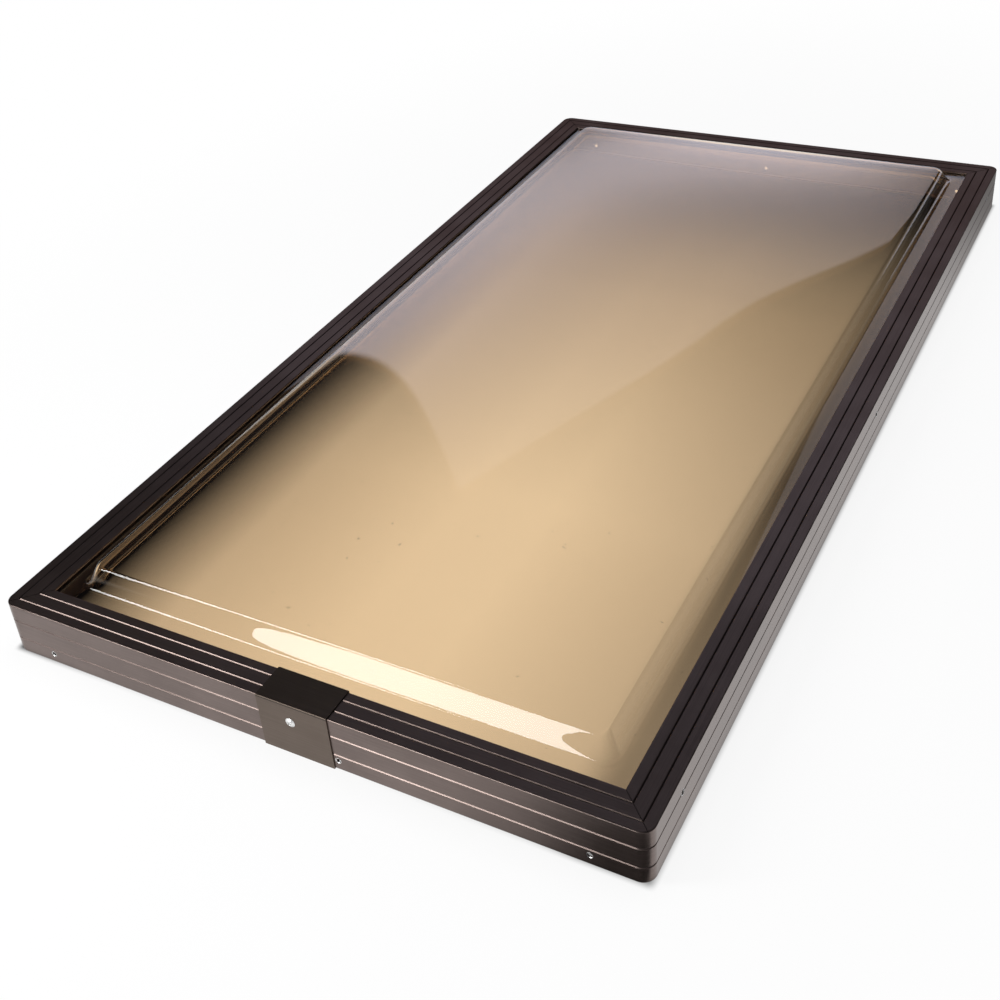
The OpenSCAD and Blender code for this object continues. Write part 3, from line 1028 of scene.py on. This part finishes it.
@dataclass
class RetainingFrame:
    """The bent and mitred extrusion that holds the domes down, in millimetres."""

    width: float = FRAME_WIDTH
    length: float = FRAME_LENGTH
    height: float = FRAME_HEIGHT
    wall: float = FRAME_WALL
    flange: float = FLANGE_WIDTH
    lip_z: float = OUTER_TOP + LIP_GAP
    bend_r: float = 12.0
    edge_r: float = 0.8
    end_r: float = 0.3
    hem_r: float = 1.6
    hem: float = HEM_WIDTH
    rib: float = 3.5
    rib_top: float = 45.8
    rib_t: float = 2.0
    groove_w: float = 2.0
    groove_d: float = 0.7
    groove_edge_r: float = 0.25
    groove_root_r: float = 0.15
    skirt_grooves: Point2 = (17.5, RIVET_Z)
    flange_grooves: Point2 = (10.6, 24.2)
    seam_w: float = 0.6
    seam_d: float = 0.9
    seam_start: float = 1.0
    overcut: float = 2.0
    hole_d: float = 4.8
    end_hole_z: float = 11.0
    end_hole_inset: float = 51.0
    front_mid_x: float = 46.0
    side_hole_inset: float = 65.0
    rivet_x: float = RIVET_X
    rivet_hole_d: float = RIVET_HOLE_D
    joint_off: float = 16.0
    joint_gap: float = 1.2
    joint_inset: float = 18.0
    joint_z: float = 30.0
    joint_cut_w: float = 40.0
    joint_cut_h: float = 70.0
    flare: float = 0.45
    burr_r: float = 0.14
    burr_out: float = 0.4
    burr_facets: int = 8
    bend_steps: int = 10
    top_margin: float = 0.1
    top_facing: float = 0.5

    def section(self) -> list[SectionPoint]:
        """Draws the extrusion's section.

        Returns:
            Its points, from the bottom hem round the outside to the inside.
        """
        top, inner = self.height, self.height - self.wall
        half = self.groove_w / 2.0
        groove = [
            (-half, 0.0, self.groove_edge_r),
            (0.0, self.groove_d, self.groove_root_r),
            (half, 0.0, self.groove_edge_r),
        ]
        on_skirt = [Corner(deep, z + step, r) for z in self.skirt_grooves for step, deep, r in groove]
        outer, inside = (
            [Corner(u + step, top - deep, r) for step, deep, r in groove] for u in self.flange_grooves
        )
        lip_back = self.flange - self.wall
        rib_end, rib_low = self.wall + self.rib, self.rib_top - self.rib_t
        corners = [
            Corner(self.hem, 0.0, self.end_r, notched=True),
            Corner(0.0, 0.0, self.hem_r, worn=True),
            *on_skirt,
            Corner(0.0, top, self.edge_r, worn=True),
            *outer,
            Corner(self.bend_r, top),
            *inside,
            Corner(self.flange, top, self.edge_r, worn=True),
            Corner(self.flange, self.lip_z, self.end_r),
            Corner(lip_back, self.lip_z, self.end_r),
            Corner(lip_back, inner),
            Corner(self.bend_r, inner),
            Corner(self.wall, inner),
            Corner(self.wall, self.rib_top),
            Corner(rib_end, self.rib_top, self.end_r, notched=True),
            Corner(rib_end, rib_low, self.end_r, notched=True),
            Corner(self.wall, rib_low),
            Corner(self.wall, self.wall),
            Corner(self.hem, self.wall, self.end_r, notched=True),
        ]
        return rounded_section(corners, self.wall)

    def _station(self, point: SectionPoint, side: Side, end: int, turn: float | None) -> Vector:
        """Place of a section's point at one station of the ring.

        Args:
            point: The section's point.
            side: Side that the station is on, or that its bend follows.
            end: -1 for the start of the side, 1 for its end.
            turn: Angle round the bend after the side, or None on the straight run.

        Returns:
            The place.
        """
        half_run = (self.length if side.value[0] else self.width) * MM / 2.0
        half_out = (self.width if side.value[0] else self.length) * MM / 2.0
        inset = point.inset if turn is None else point.notched
        bend = max(self.bend_r * MM, inset)
        radius = bend - inset
        angle = turn or 0.0
        along = end * (half_run - bend) + radius * math.sin(angle)
        out = half_out - bend + radius * math.cos(angle)
        return side.along * along + side.out * out + Vector((0.0, 0.0, point.height))

    def body(self) -> bpy.types.Mesh:
        """Runs the section round the four sides and their bends.

        Returns:
            The mesh, with places along the run as its UV map.
        """
        section = self.section()
        stations: list[tuple[Side, int, float | None]] = []
        for side in Side:
            stations += [(side, -1, None), (side, 1, None)]
            stations += [(side, 1, QUARTER * k / self.bend_steps) for k in range(self.bend_steps + 1)]
        bm = bmesh.new()
        uv = bm.loops.layers.uv.new(RUN_UV)
        edge = bm.verts.layers.float.new(EDGE_MARK)
        rings: list[Ring] = []
        for station in stations:
            ring = []
            for point in section:
                vert = bm.verts.new(self._station(point, *station))
                vert[edge] = point.edge
                ring.append(vert)
            rings.append(ring)
        girth = [0.0]
        for a, b in zip(section, section[1:] + section[:1]):
            girth.append(girth[-1] + math.hypot(b.inset - a.inset, b.height - a.height))
        for (side, _, _), ring, following in zip(stations, rings, rings[1:] + rings[:1]):
            shift = UV_SIDE_SHIFT * list(Side).index(side)
            for k, face in enumerate(bridge(bm, ring, following)):
                for loop, g in zip(face.loops, (girth[k], girth[k + 1], girth[k + 1], girth[k])):
                    loop[uv].uv = (loop.vert.co.dot(side.along) + shift, g)
        return mesh_from("retaining_frame", bm)

    def holes(self) -> list[tuple[Vector, Vector]]:
        """Lists the screw holes.

        Returns:
            Each hole's centre on the outside face and the direction it faces.
        """
        end_y, side_x = self.length * MM / 2.0, self.width * MM / 2.0
        end_z, side_z = self.end_hole_z * MM, self.skirt_grooves[1] * MM
        last_x = self.width / 2.0 - self.end_hole_inset
        last_y = self.length / 2.0 - self.side_hole_inset
        places = []
        for side, middle in ((Side.FRONT, self.front_mid_x), (Side.BACK, 0.0)):
            for x in (-last_x, middle, last_x):
                places.append((Vector((x * MM, side.value[1] * end_y, end_z)), side.out))
        for y in (-last_y, 0.0, last_y):
            for side in (Side.LEFT, Side.RIGHT):
                places.append((Vector((side.value[0] * side_x, y * MM, side_z)), side.out))
        return places

    def cutter(self) -> bpy.types.Mesh:
        """Makes what is cut from the extrusion: mitre seams, butt joint, screw holes and rivet hole.

        Returns:
            The cutting shapes as one mesh, with bare metal on the drilled edges.
        """
        bm = bmesh.new()
        front = -self.length * MM / 2.0
        reach = (self.flange + self.overcut) * MM * math.sqrt(2.0)
        depth = (self.seam_d + self.overcut) * MM
        for sx in (-1.0, 1.0):
            for sy in (-1.0, 1.0):
                corner = Vector((sx * self.width, sy * self.length, 0.0)) * (MM / 2.0)
                inwards = Vector((-sx, -sy, 0.0)).normalized()
                centre = corner + inwards * (reach / 2.0 - self.seam_start * MM)
                centre.z = (self.height - self.seam_d) * MM + depth / 2.0
                add_box(bm, centre, Vector((reach, self.seam_w * MM, depth)), math.atan2(-sy, -sx))
        joint_x = self.rivet_x + self.joint_off
        add_box(
            bm,
            Vector((joint_x * MM, front + self.joint_inset * MM, self.joint_z * MM)),
            Vector((self.joint_gap, self.joint_cut_w, self.joint_cut_h)) * MM,
        )
        hole_r, rivet_r, flare = self.hole_d * MM / 2.0, self.rivet_hole_d * MM / 2.0, self.flare * MM
        drill = [(hole_r, -DRILL_REACH), (hole_r, -flare), (hole_r + 2.0 * flare, flare)]
        for centre, out in self.holes():
            add_lathe(bm, centre, out, drill, [FrameSlot.BRONZE, FrameSlot.METAL])
        rivet_hole = Vector((self.rivet_x * MM, front, self.skirt_grooves[1] * MM))
        bore = [(rivet_r, -DRILL_REACH), (rivet_r, DRILL_REACH)]
        add_lathe(bm, rivet_hole, Side.FRONT.out, bore, [FrameSlot.METAL])
        return mesh_from("cutter", bm)

    def burrs(self, metal: bpy.types.Material) -> bpy.types.Mesh:
        """Sets a fine raised burr round each screw hole with Geometry Nodes.

        Args:
            metal: Material of the bare edge.

        Returns:
            The burrs as one mesh.
        """
        mesh = bpy.data.meshes.new("burrs")
        places = self.holes()
        mesh.from_pydata([centre for centre, _ in places], [], [])
        outs = mesh.attributes.new(OUT_MARK, "FLOAT_VECTOR", "POINT")
        for item, (_, out) in zip(outs.data, places):
            item.vector = out
        hole_r = (self.hole_d / 2.0 + self.flare) * MM
        rule = Rule("Drilled edges", {"Hole Radius": hole_r, "Burr Radius": self.burr_r * MM}, metal)
        g, burr = rule.graph, rule.sizes["Burr Radius"]
        circle = "GeometryNodeCurvePrimitiveCircle"
        rim_r = rule.sizes["Hole Radius"] + self.burr_out * burr
        rim = g.take(circle, "Curve", None, {"Resolution": LATHE_STEPS, "Radius": rim_r})
        wire = g.take(circle, "Curve", None, {"Resolution": self.burr_facets, "Radius": burr})
        ring = g.take("GeometryNodeCurveToMesh", "Mesh", None, {"Curve": rim, "Profile Curve": wire})
        facing = g.take(
            "GeometryNodeInputNamedAttribute", 0, {"data_type": "FLOAT_VECTOR"}, {"Name": OUT_MARK}
        )
        turned = g.take("FunctionNodeAlignRotationToVector", 0, {"axis": "Z"}, {"Vector": facing})
        set_out = {"Points": rule.geometry, "Instance": ring, "Rotation": turned}
        return rule.run(mesh, g.take("GeometryNodeInstanceOnPoints", 0, None, set_out))

    def build(
        self, seat: Seat, bronze: bpy.types.Material, metal: bpy.types.Material, flange: bpy.types.Material
    ) -> bpy.types.Object:
        """Builds and dresses the whole frame.

        Args:
            seat: Where it goes.
            bronze: Finish of the extrusion.
            metal: Finish of the drilled edges.
            flange: Finish of the flange's top.

        Returns:
            The piece.
        """
        body, tool = self.body(), self.cutter()
        for mesh in (body, tool):
            mesh.materials.append(bronze)
            mesh.materials.append(metal)
        bm = bmesh.new()
        counts = []
        for mesh in (carved("retaining_frame", body, tool), self.burrs(metal)):
            bm.from_mesh(mesh)
            bpy.data.meshes.remove(mesh)
            counts.append(len(bm.faces))
        bm.faces.ensure_lookup_table()
        for face in bm.faces[counts[0]:]:
            face.material_index = FrameSlot.METAL
        top = (self.height - self.seam_d - self.top_margin) * MM
        for face in bm.faces[: counts[0]]:
            faces_up = face.normal.z > self.top_facing and face.calc_center_median().z > top
            if faces_up and face.material_index == FrameSlot.BRONZE:
                face.material_index = FrameSlot.FLANGE
        mesh = bpy.data.meshes.new("retaining_frame")
        bm.to_mesh(mesh)
        bm.free()
        smoothed(mesh)
        materials = [bronze, metal, flange]
        piece = seat.settle("retaining_frame_dressed", mesh, materials, "frame_bronze", "retaining_frame")
        shade_evenly(piece)
        return piece


@dataclass
class JointCover:
    """The folded sheet over the butt joint, in millimetres."""

    width: float = 73.0
    middle_x: float = COVER_X
    sheet: float = COVER_SHEET
    fit: float = COVER_FIT
    hook: float = 5.0
    lip: float = 2.0
    fold_r: float = 0.9
    rim_r: float = 0.15
    length: float = FRAME_LENGTH
    height: float = FRAME_HEIGHT
    flange: float = FLANGE_WIDTH
    hem: float = HEM_WIDTH
    rivet_x: float = RIVET_X
    rivet_z: float = RIVET_Z
    rivet_hole_d: float = RIVET_HOLE_D

    def section(self) -> list[SectionPoint]:
        """Draws the folded sheet's section.

        Returns:
            Its points, with rounded folds.
        """
        near, far = -self.fit, -self.fit - self.sheet
        top = self.height + self.fit
        lip_u, hook_u = self.flange + self.fit, self.hem + self.fit
        corners = [
            Corner(far, far, self.fold_r),
            Corner(hook_u + self.sheet, far, self.fold_r),
            Corner(hook_u + self.sheet, self.hook, self.rim_r),
            Corner(hook_u, self.hook, self.rim_r),
            Corner(hook_u, near),
            Corner(near, near),
            Corner(near, top),
            Corner(lip_u, top),
            Corner(lip_u, top - self.lip, self.rim_r),
            Corner(lip_u + self.sheet, top - self.lip, self.rim_r),
            Corner(lip_u + self.sheet, top + self.sheet, self.fold_r),
            Corner(far, top + self.sheet, self.fold_r),
        ]
        return rounded_section(corners, 0.0)

    def build(self, seat: Seat, bronze: bpy.types.Material) -> bpy.types.Object:
        """Builds and dresses the cover.

        Args:
            seat: Where it goes.
            bronze: Finish of the sheet.

        Returns:
            The piece.
        """
        section = self.section()
        bm = bmesh.new()
        ends: list[Ring] = []
        front = -self.length * MM / 2.0
        for sign in (-1.0, 1.0):
            x = (self.middle_x + sign * self.width / 2.0) * MM
            ends.append([bm.verts.new((x, front + p.inset, p.height)) for p in section])
        bridge(bm, *ends)
        caps = [bm.faces.new(end) for end in ends]
        rim = [edge for cap in caps for edge in cap.edges]
        bmesh.ops.bevel(bm, geom=rim, offset=self.rim_r * MM, segments=2, profile=0.5, affect="EDGES")
        sheet = mesh_from("joint_cover", bm)
        hole = bmesh.new()
        place = Vector((self.rivet_x * MM, front, self.rivet_z * MM))
        hole_r = self.rivet_hole_d * MM / 2.0
        bore = [(hole_r, -DRILL_REACH), (hole_r, DRILL_REACH)]
        add_lathe(hole, place, Side.FRONT.out, bore, [FrameSlot.BRONZE])
        mesh = carved("joint_cover", sheet, mesh_from("hole", hole))
        smoothed(mesh)
        piece = seat.settle("joint_cover_dressed", mesh, [bronze], "cover_bronze", "joint_cover")
        shade_evenly(piece)
        return piece


@dataclass
class CoverRivet:
    """The blind rivet through the cover, in millimetres."""

    x: float = RIVET_X
    z: float = RIVET_Z
    front: float = FRAME_LENGTH / 2.0 + COVER_FIT + COVER_SHEET
    head_d: float = 9.6
    head_h: float = 1.8
    head_edge_h: float = 0.12
    head_under: float = 0.1
    body_d: float = RIVET_D
    hollow_d: float = 2.8
    hollow_h: float = 1.6
    stem_r: float = 0.7
    stem_h: float = 0.35
    stem_edge_h: float = 0.2
    floor_inset: float = 0.25
    foot_round: Point2 = (0.08, 0.1)
    rim_depth: float = 0.15
    rim_round: Point2 = (0.12, 0.02)
    rim_turn: float = 0.06
    grip: float = FRAME_WALL + COVER_FIT + COVER_SHEET
    tail_d: float = 7.0
    tail_h: float = 3.0
    tail_edge: Point2 = (0.2, 0.3)
    tail_round: float = 0.2
    head_steps: int = 12
    turns: int = 48

    def profile(self) -> list[Point2]:
        """Draws half of the rivet, as radius and distance in front of the cover.

        Returns:
            The points, from the hollow over the head to the tail.
        """
        head_r, hollow_r, body_r, tail_r = (
            size / 2.0 for size in (self.head_d, self.hollow_d, self.body_d, self.tail_d)
        )
        ball = (head_r**2 + self.head_h**2) / (2.0 * self.head_h)
        start, end = math.asin(hollow_r / ball), math.asin(head_r / ball)
        rim = ball * math.cos(start) + self.head_h - ball
        floor = rim - self.hollow_h
        points = [
            (0.0, floor + self.stem_h),
            (self.stem_r, floor + self.stem_edge_h),
            (hollow_r - self.floor_inset, floor),
            (hollow_r - self.foot_round[0], floor + self.foot_round[1]),
            (hollow_r, rim - self.rim_depth),
            (hollow_r + self.rim_round[0], rim - self.rim_round[1]),
        ]
        for k in range(1, self.head_steps + 1):
            a = start + self.rim_turn + (end - start - self.rim_turn) * k / self.head_steps
            ahead = ball * math.cos(a) + self.head_h - ball
            points.append((ball * math.sin(a), max(ahead, self.head_edge_h)))
        points += [
            (head_r - self.head_under, 0.0),
            (body_r, 0.0),
            (body_r, -self.grip),
            (tail_r - self.tail_edge[0], -self.grip),
            (tail_r, -self.grip - self.tail_edge[1]),
            (body_r, -self.grip - self.tail_h + self.tail_round),
            (0.0, -self.grip - self.tail_h),
        ]
        return points

    def build(self, seat: Seat, metal: bpy.types.Material) -> bpy.types.Object:
        """Builds and dresses the rivet.

        Args:
            seat: Where it goes.
            metal: Its finish.

        Returns:
            The piece.
        """
        bm = bmesh.new()
        rings: list[Ring] = []
        for radius, ahead in self.profile():
            ring = []
            for k in range(self.turns):
                a = 2.0 * math.pi * k / self.turns
                place = (self.x + radius * math.cos(a), -self.front - ahead, self.z + radius * math.sin(a))
                ring.append(bm.verts.new(Vector(place) * MM))
            rings.append(ring)
        for inner, outer in zip(rings, rings[1:]):
            bridge(bm, inner, outer)
        mesh = mesh_from("cover_rivet", bm)
        smoothed(mesh)
        return seat.settle("cover_rivet_dressed", mesh, [metal], "rivet_bright", "cover_rivet")


@dataclass
class Dome:
    """A sheet blown into a flat flange, a riser and a low crown, in millimetres."""

    name: str
    sheet: float
    foot: float = FLANGE_WIDTH + DOME_STRIP
    top_z: float = OUTER_TOP
    rise: float = 20.0
    crown: float = 45.0
    inner_step: float = 6.5
    inner_riser_drop: float = 8.0
    inner_crown_drop: float = 4.0
    width: float = FRAME_WIDTH
    length: float = FRAME_LENGTH
    edge: float = FRAME_WALL + DOME_GAP
    edge_r: float = 10.0
    foot_r: float = 15.0
    shoulder_r: float = 10.0
    run: float = 16.5
    full_w: float = 2.0
    full_l: float = 2.7
    flange_rings: int = 3
    riser_rings: int = 16
    crown_rings: int = 40
    bend_steps: int = 10
    split_w: int = 28
    split_l: int = 48

    def nested(self, name: str, sheet: float) -> "Dome":
        """Lays out the smaller dome that nests under this one.

        Args:
            name: Name of the smaller dome.
            sheet: Thickness of its sheet.

        Returns:
            The smaller dome.
        """
        return replace(
            self,
            name=name,
            sheet=sheet,
            foot=self.foot + self.inner_step,
            top_z=self.top_z - self.sheet - SPACER,
            rise=self.rise - self.inner_riser_drop,
            crown=self.crown - self.inner_crown_drop,
        )

    def _outline(self, a: float, b: float, r: float) -> list[Point2]:
        """Points of a rounded rectangle.

        Args:
            a: Half of its width.
            b: Half of its length.
            r: Radius of its corners.

        Returns:
            The same number of points at every size.
        """
        x, y = a - r, b - r
        points: list[Point2] = []
        spans = ((x, y, self.split_w), (-x, y, self.split_l), (-x, -y, self.split_w), (x, -y, self.split_l))
        for quarter, (cx, cy, split) in enumerate(spans):
            for k in range(self.bend_steps + 1):
                angle = QUARTER * (quarter + k / self.bend_steps)
                points.append((cx + r * math.cos(angle), cy + r * math.sin(angle)))
            nx, ny, _ = spans[(quarter + 1) % len(spans)]
            start = points[-1]
            angle = QUARTER * (quarter + 1)
            finish = (nx + r * math.cos(angle), ny + r * math.sin(angle))
            for k in range(1, split):
                t = k / split
                points.append(tuple(p + (q - p) * t for p, q in zip(start, finish)))
        return points

    def _outlines(self) -> list[tuple[list[Point2], float]]:
        """Outlines of the flat sheet from its edge to near its middle.

        Returns:
            Each outline's points, and how far up the riser it is.
        """
        half_w, half_l = self.width / 2.0, self.length / 2.0
        outlines = []
        for k in range(self.flange_rings):
            t = k / self.flange_rings
            u = self.edge + (self.foot - self.edge) * t
            r = self.edge_r + (self.foot_r - self.edge_r) * t
            outlines.append((self._outline(half_w - u, half_l - u, r), 0.0))
        for k in range(self.riser_rings + 1):
            t = k / self.riser_rings
            u = self.foot + self.run * t
            r = self.foot_r + (self.shoulder_r - self.foot_r) * t
            outlines.append((self._outline(half_w - u, half_l - u, r), t))
        shoulder = self.foot + self.run
        for k in range(1, self.crown_rings):
            s = 1.0 - k / self.crown_rings
            a, b = (half_w - shoulder) * s, (half_l - shoulder) * s
            outlines.append((self._outline(a, b, self.shoulder_r * s), 1.0))
        return outlines

    def blank(self) -> bpy.types.Mesh:
        """Lays out the flat sheet before it is blown.

        Returns:
            A flat mesh that carries how far up the riser each point is.
        """
        bm = bmesh.new()
        climb = bm.verts.layers.float.new(CLIMB_MARK)
        z = self.top_z * MM
        rings: list[Ring] = []
        for points, level in self._outlines():
            ring = []
            for x, y in points:
                vert = bm.verts.new((x * MM, y * MM, z))
                vert[climb] = level
                ring.append(vert)
            rings.append(ring)
        for outer, inner in zip(rings, rings[1:]):
            bridge(bm, outer, inner)
        middle = bm.verts.new((0.0, 0.0, z))
        middle[climb] = 1.0
        last = rings[-1]
        for here, following in zip(last, last[1:] + last[:1]):
            bm.faces.new((here, following, middle))
        return mesh_from(self.name, bm, outwards=False)

    def blown(self, acrylic: bpy.types.Material) -> bpy.types.Mesh:
        """Blows the flat sheet up by its rule with Geometry Nodes.

        Args:
            acrylic: Finish of the sheet.

        Returns:
            The upper skin.
        """
        half_w, half_l = (size / 2.0 - self.foot - self.run for size in (self.width, self.length))
        pitch = self.crown * self.run / self.rise
        sizes = {
            "Rise": self.rise * MM,
            "Crown": self.crown * MM,
            "Half Width": half_w * MM,
            "Half Length": half_l * MM,
            "Fullness Across": self.full_w,
            "Fullness Along": self.full_l,
            "Shoulder Across": self.full_w * pitch / half_w,
            "Shoulder Along": self.full_l * pitch / half_l,
        }
        rule = Rule("Blown " + self.name, sizes, acrylic)
        g, size = rule.graph, rule.sizes
        x, y, _ = g.parts(g.take("GeometryNodeInputPosition", 0))
        climb = g.take("GeometryNodeInputNamedAttribute", 0, {"data_type": "FLOAT"}, {"Name": CLIMB_MARK})
        across = 1.0 - (abs(x) / size["Half Width"]).least(1.0) ** size["Fullness Across"]
        along = 1.0 - (abs(y) / size["Half Length"]).least(1.0) ** size["Fullness Along"]
        shoulder = size["Shoulder Across"] * along + size["Shoulder Along"] * across
        step = climb * climb * (3.0 - 2.0 * climb) + shoulder * climb * climb * (climb - 1.0)
        lift = size["Rise"] * step + size["Crown"] * across * along
        offset = g.take("ShaderNodeCombineXYZ", 0, None, {"Z": lift})
        moved = {"Geometry": rule.geometry, "Offset": offset}
        return rule.run(self.blank(), g.take("GeometryNodeSetPosition", 0, None, moved))

    def build(self, seat: Seat, acrylic: bpy.types.Material, slot: str) -> bpy.types.Object:
        """Builds and dresses the dome.

        Args:
            seat: Where it goes.
            acrylic: Its finish.
            slot: The record's material slot.

        Returns:
            The piece.
        """
        skin = new_object(self.name + "_skin", self.blown(acrylic))
        wall = skin.modifiers.new("wall", "SOLIDIFY")
        wall.thickness = self.sheet * MM
        wall.offset = -1.0
        wall.use_even_offset = True
        mesh = baked(skin)
        mesh.name = self.name
        drop(skin)
        smoothed(mesh)
        return seat.settle(self.name + "_dressed", mesh, [acrylic], slot, self.name)


@dataclass
class HiddenStack:
    """The construction's own solids under the frame, which only get their finishes."""

    sides: tuple[str, ...] = ("front", "back", "left", "right")

    @staticmethod
    def _dress(node: str, material: bpy.types.Material) -> None:
        """Gives one node of the construction its finish.

        Args:
            node: Name of the node.
            material: Its finish.
        """
        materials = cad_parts[node].data.materials
        materials.clear()
        materials.append(material)
        LOG.info("%s: dressed", node)

    def build(self) -> None:
        """Dresses the thermal frame, the tapes and the gasket."""
        self._dress("thermal_frame", DARK_PLASTIC.material())
        tape = BLACK_TAPE.material()
        finishes = {
            "cap_seal": tape,
            "dome_spacer": SPACER_TAPE.material(),
            "curb_gasket": GASKET_FOAM.material(),
            "bed_seal": tape,
        }
        for kind, material in finishes.items():
            for side in self.sides:
                self._dress(f"{kind}_{side}", material)


@dataclass(frozen=True)
class SoftBox:
    """A lamp with a flat face: where it hangs, where it points, and the direction of its height."""

    name: str
    place: Triple
    aim: Triple
    upright: Triple
    size: Point2
    power: float
    use: LampUse

    def hang(self) -> None:
        """Hangs the lamp."""
        data = bpy.data.lights.new(self.name, "AREA")
        data.shape = "RECTANGLE"
        data.size, data.size_y = self.size
        data.energy = self.power
        place = Vector(self.place)
        back = (place - Vector(self.aim)).normalized()
        across = Vector(self.upright).cross(back).normalized()
        turn = Matrix((across, back.cross(across), back)).transposed()
        obj = new_object(self.name, data)
        obj.matrix_world = Matrix.Translation(place) @ turn.to_4x4()
        obj.visible_glossy = self.use is not LampUse.LIGHT
        obj.visible_diffuse = self.use is not LampUse.MIRROR
        obj.visible_transmission = False
        obj.visible_camera = False


MIDDLE: Triple = (0.0, 0.0, 0.0)
FRONT_RISER: Triple = (0.08, -0.56, 0.07)
UPWARDS: Triple = (0.0, 0.0, 1.0)
BACKWARDS: Triple = (0.0, 1.0, 0.0)
SOFT_BOXES = (
    SoftBox("key", (-0.92, -1.2, 1.2), FRONT_RISER, UPWARDS, (0.35, 1.1), 16.0, LampUse.BOTH),
    SoftBox("band", (-0.72, -2.25, 0.85), FRONT_RISER, UPWARDS, (0.75, 1.3), 32.0, LampUse.MIRROR),
    SoftBox("top", (0.2, 0.2, 2.6), MIDDLE, BACKWARDS, (1.6, 1.6), 26.0, LampUse.LIGHT),
)


@dataclass
class Studio:
    """Floor, soft light, surroundings and camera."""

    origin: Vector
    floor_half: float = 9.0
    azimuth: float = math.radians(32.342)
    elevation: float = math.radians(32.594)
    roll: float = math.radians(-6.110)
    distance: float = 1.6560
    slide_x: float = -0.1732
    slide_y: float = -0.0170
    lens: float = 49.92
    sensor: float = 36.0
    nearest: float = 0.01
    shift: Point2 = (0.05, -0.10)
    dark_colour: Colour = (0.025, 0.025, 0.03)
    panel_colour: Colour = (0.9, 0.95, 1.18)
    soft_colour: Colour = (0.4, 0.4, 0.41)
    panel_left: Triple = (0.707, 0.707, -0.2)
    panel_left_edge: Ramp = Ramp(-0.049, -0.039)
    panel_right: Triple = (-0.6565, 0.387, -0.647)
    panel_right_edge: Ramp = Ramp(-0.004, 0.008)
    panel_fall: Ramp = Ramp(0.2, 0.95, 1.0, 0.0)
    sweep_top: Ramp = Ramp(0.09, 0.13, 1.0, 0.0)
    sweep_end: Ramp = Ramp(0.25, 0.55, 1.0, 0.08)

    def camera(self) -> None:
        """Puts the camera where the photograph was taken from."""
        back = Vector((
            math.sin(self.azimuth) * math.cos(self.elevation),
            -math.cos(self.azimuth) * math.cos(self.elevation),
            math.sin(self.elevation),
        ))
        level = Vector((math.cos(self.azimuth), math.sin(self.azimuth), 0.0))
        rise = back.cross(level)
        right = math.cos(self.roll) * level + math.sin(self.roll) * rise
        up = math.cos(self.roll) * rise - math.sin(self.roll) * level
        place = back * self.distance + right * self.slide_x + up * self.slide_y + self.origin
        data = bpy.data.cameras.new("camera")
        data.lens = self.lens
        data.sensor_width = self.sensor
        data.shift_x, data.shift_y = self.shift
        data.clip_start = self.nearest
        obj = new_object("camera", data)
        obj.matrix_world = Matrix.Translation(place) @ Matrix((right, up, back)).transposed().to_4x4()
        bpy.context.scene.camera = obj

    def floor(self) -> None:
        """Lays the pale floor."""
        bm = bmesh.new()
        bmesh.ops.create_grid(bm, x_segments=1, y_segments=1, size=self.floor_half)
        mesh = mesh_from("floor", bm, outwards=False)
        mesh.materials.append(PALE_FLOOR.material())
        new_object("floor", mesh)

    def surroundings(self) -> None:
        """Makes the world: white seen straight, and dark with a low sweep and a pale panel in mirrors."""
        world = bpy.data.worlds.new("studio")
        bpy.context.scene.world = world
        world.use_nodes = True
        g = Graph(world.node_tree)
        towards = g.take("ShaderNodeTexCoord", "Generated")
        x, _, z = g.parts(towards)
        left = g.facing(towards, self.panel_left).ease(self.panel_left_edge)
        right = g.facing(towards, self.panel_right).ease(self.panel_right_edge)
        panel = left * right * z.slide(self.panel_fall)
        sweep = z.ease(self.sweep_top) * x.ease(self.sweep_end)
        studio = g.blend(panel, g.blend(sweep, self.dark_colour, WHITE), self.panel_colour)
        colour = g.blend(g.ray("Camera"), studio, WHITE)
        shown = g.shader("Background", {"Color": colour, "Strength": 1.0})
        soft = g.shader("Background", {"Color": self.soft_colour, "Strength": 1.0})
        g.end("World", g.shader("MixShader", {0: g.seen(), 1: soft, 2: shown}))

    def build(self) -> None:
        """Builds the whole studio."""
        bpy.context.scene.view_settings.view_transform = "Standard"
        self.camera()
        self.floor()
        self.surroundings()
        for box in SOFT_BOXES:
            box.hang()


def main() -> None:
    """Builds and dresses the skylight, piece by piece, and its studio."""
    logging.basicConfig(level=logging.INFO, format="%(name)s: %(message)s")
    seat = Seat.from_frame()
    LOG.info("seat at %s", tuple(round(v, 5) for v in seat.origin))
    metal = BARE_METAL.material()
    RetainingFrame().build(seat, BRONZE.material(), metal, FLANGE_BRONZE.material())
    JointCover().build(seat, COVER_BRONZE.material())
    CoverRivet().build(seat, metal)
    outer = Dome("outer_dome", sheet=3.0)
    outer.build(seat, TINTED_SHEET.material(), "outer_acrylic")
    inner = outer.nested("inner_dome", sheet=2.4)
    inner.build(seat, CLEAR_SHEET.material(), "inner_acrylic")
    HiddenStack().build()
    Studio(seat.origin).build()


if __name__ == "__main__":
    main()
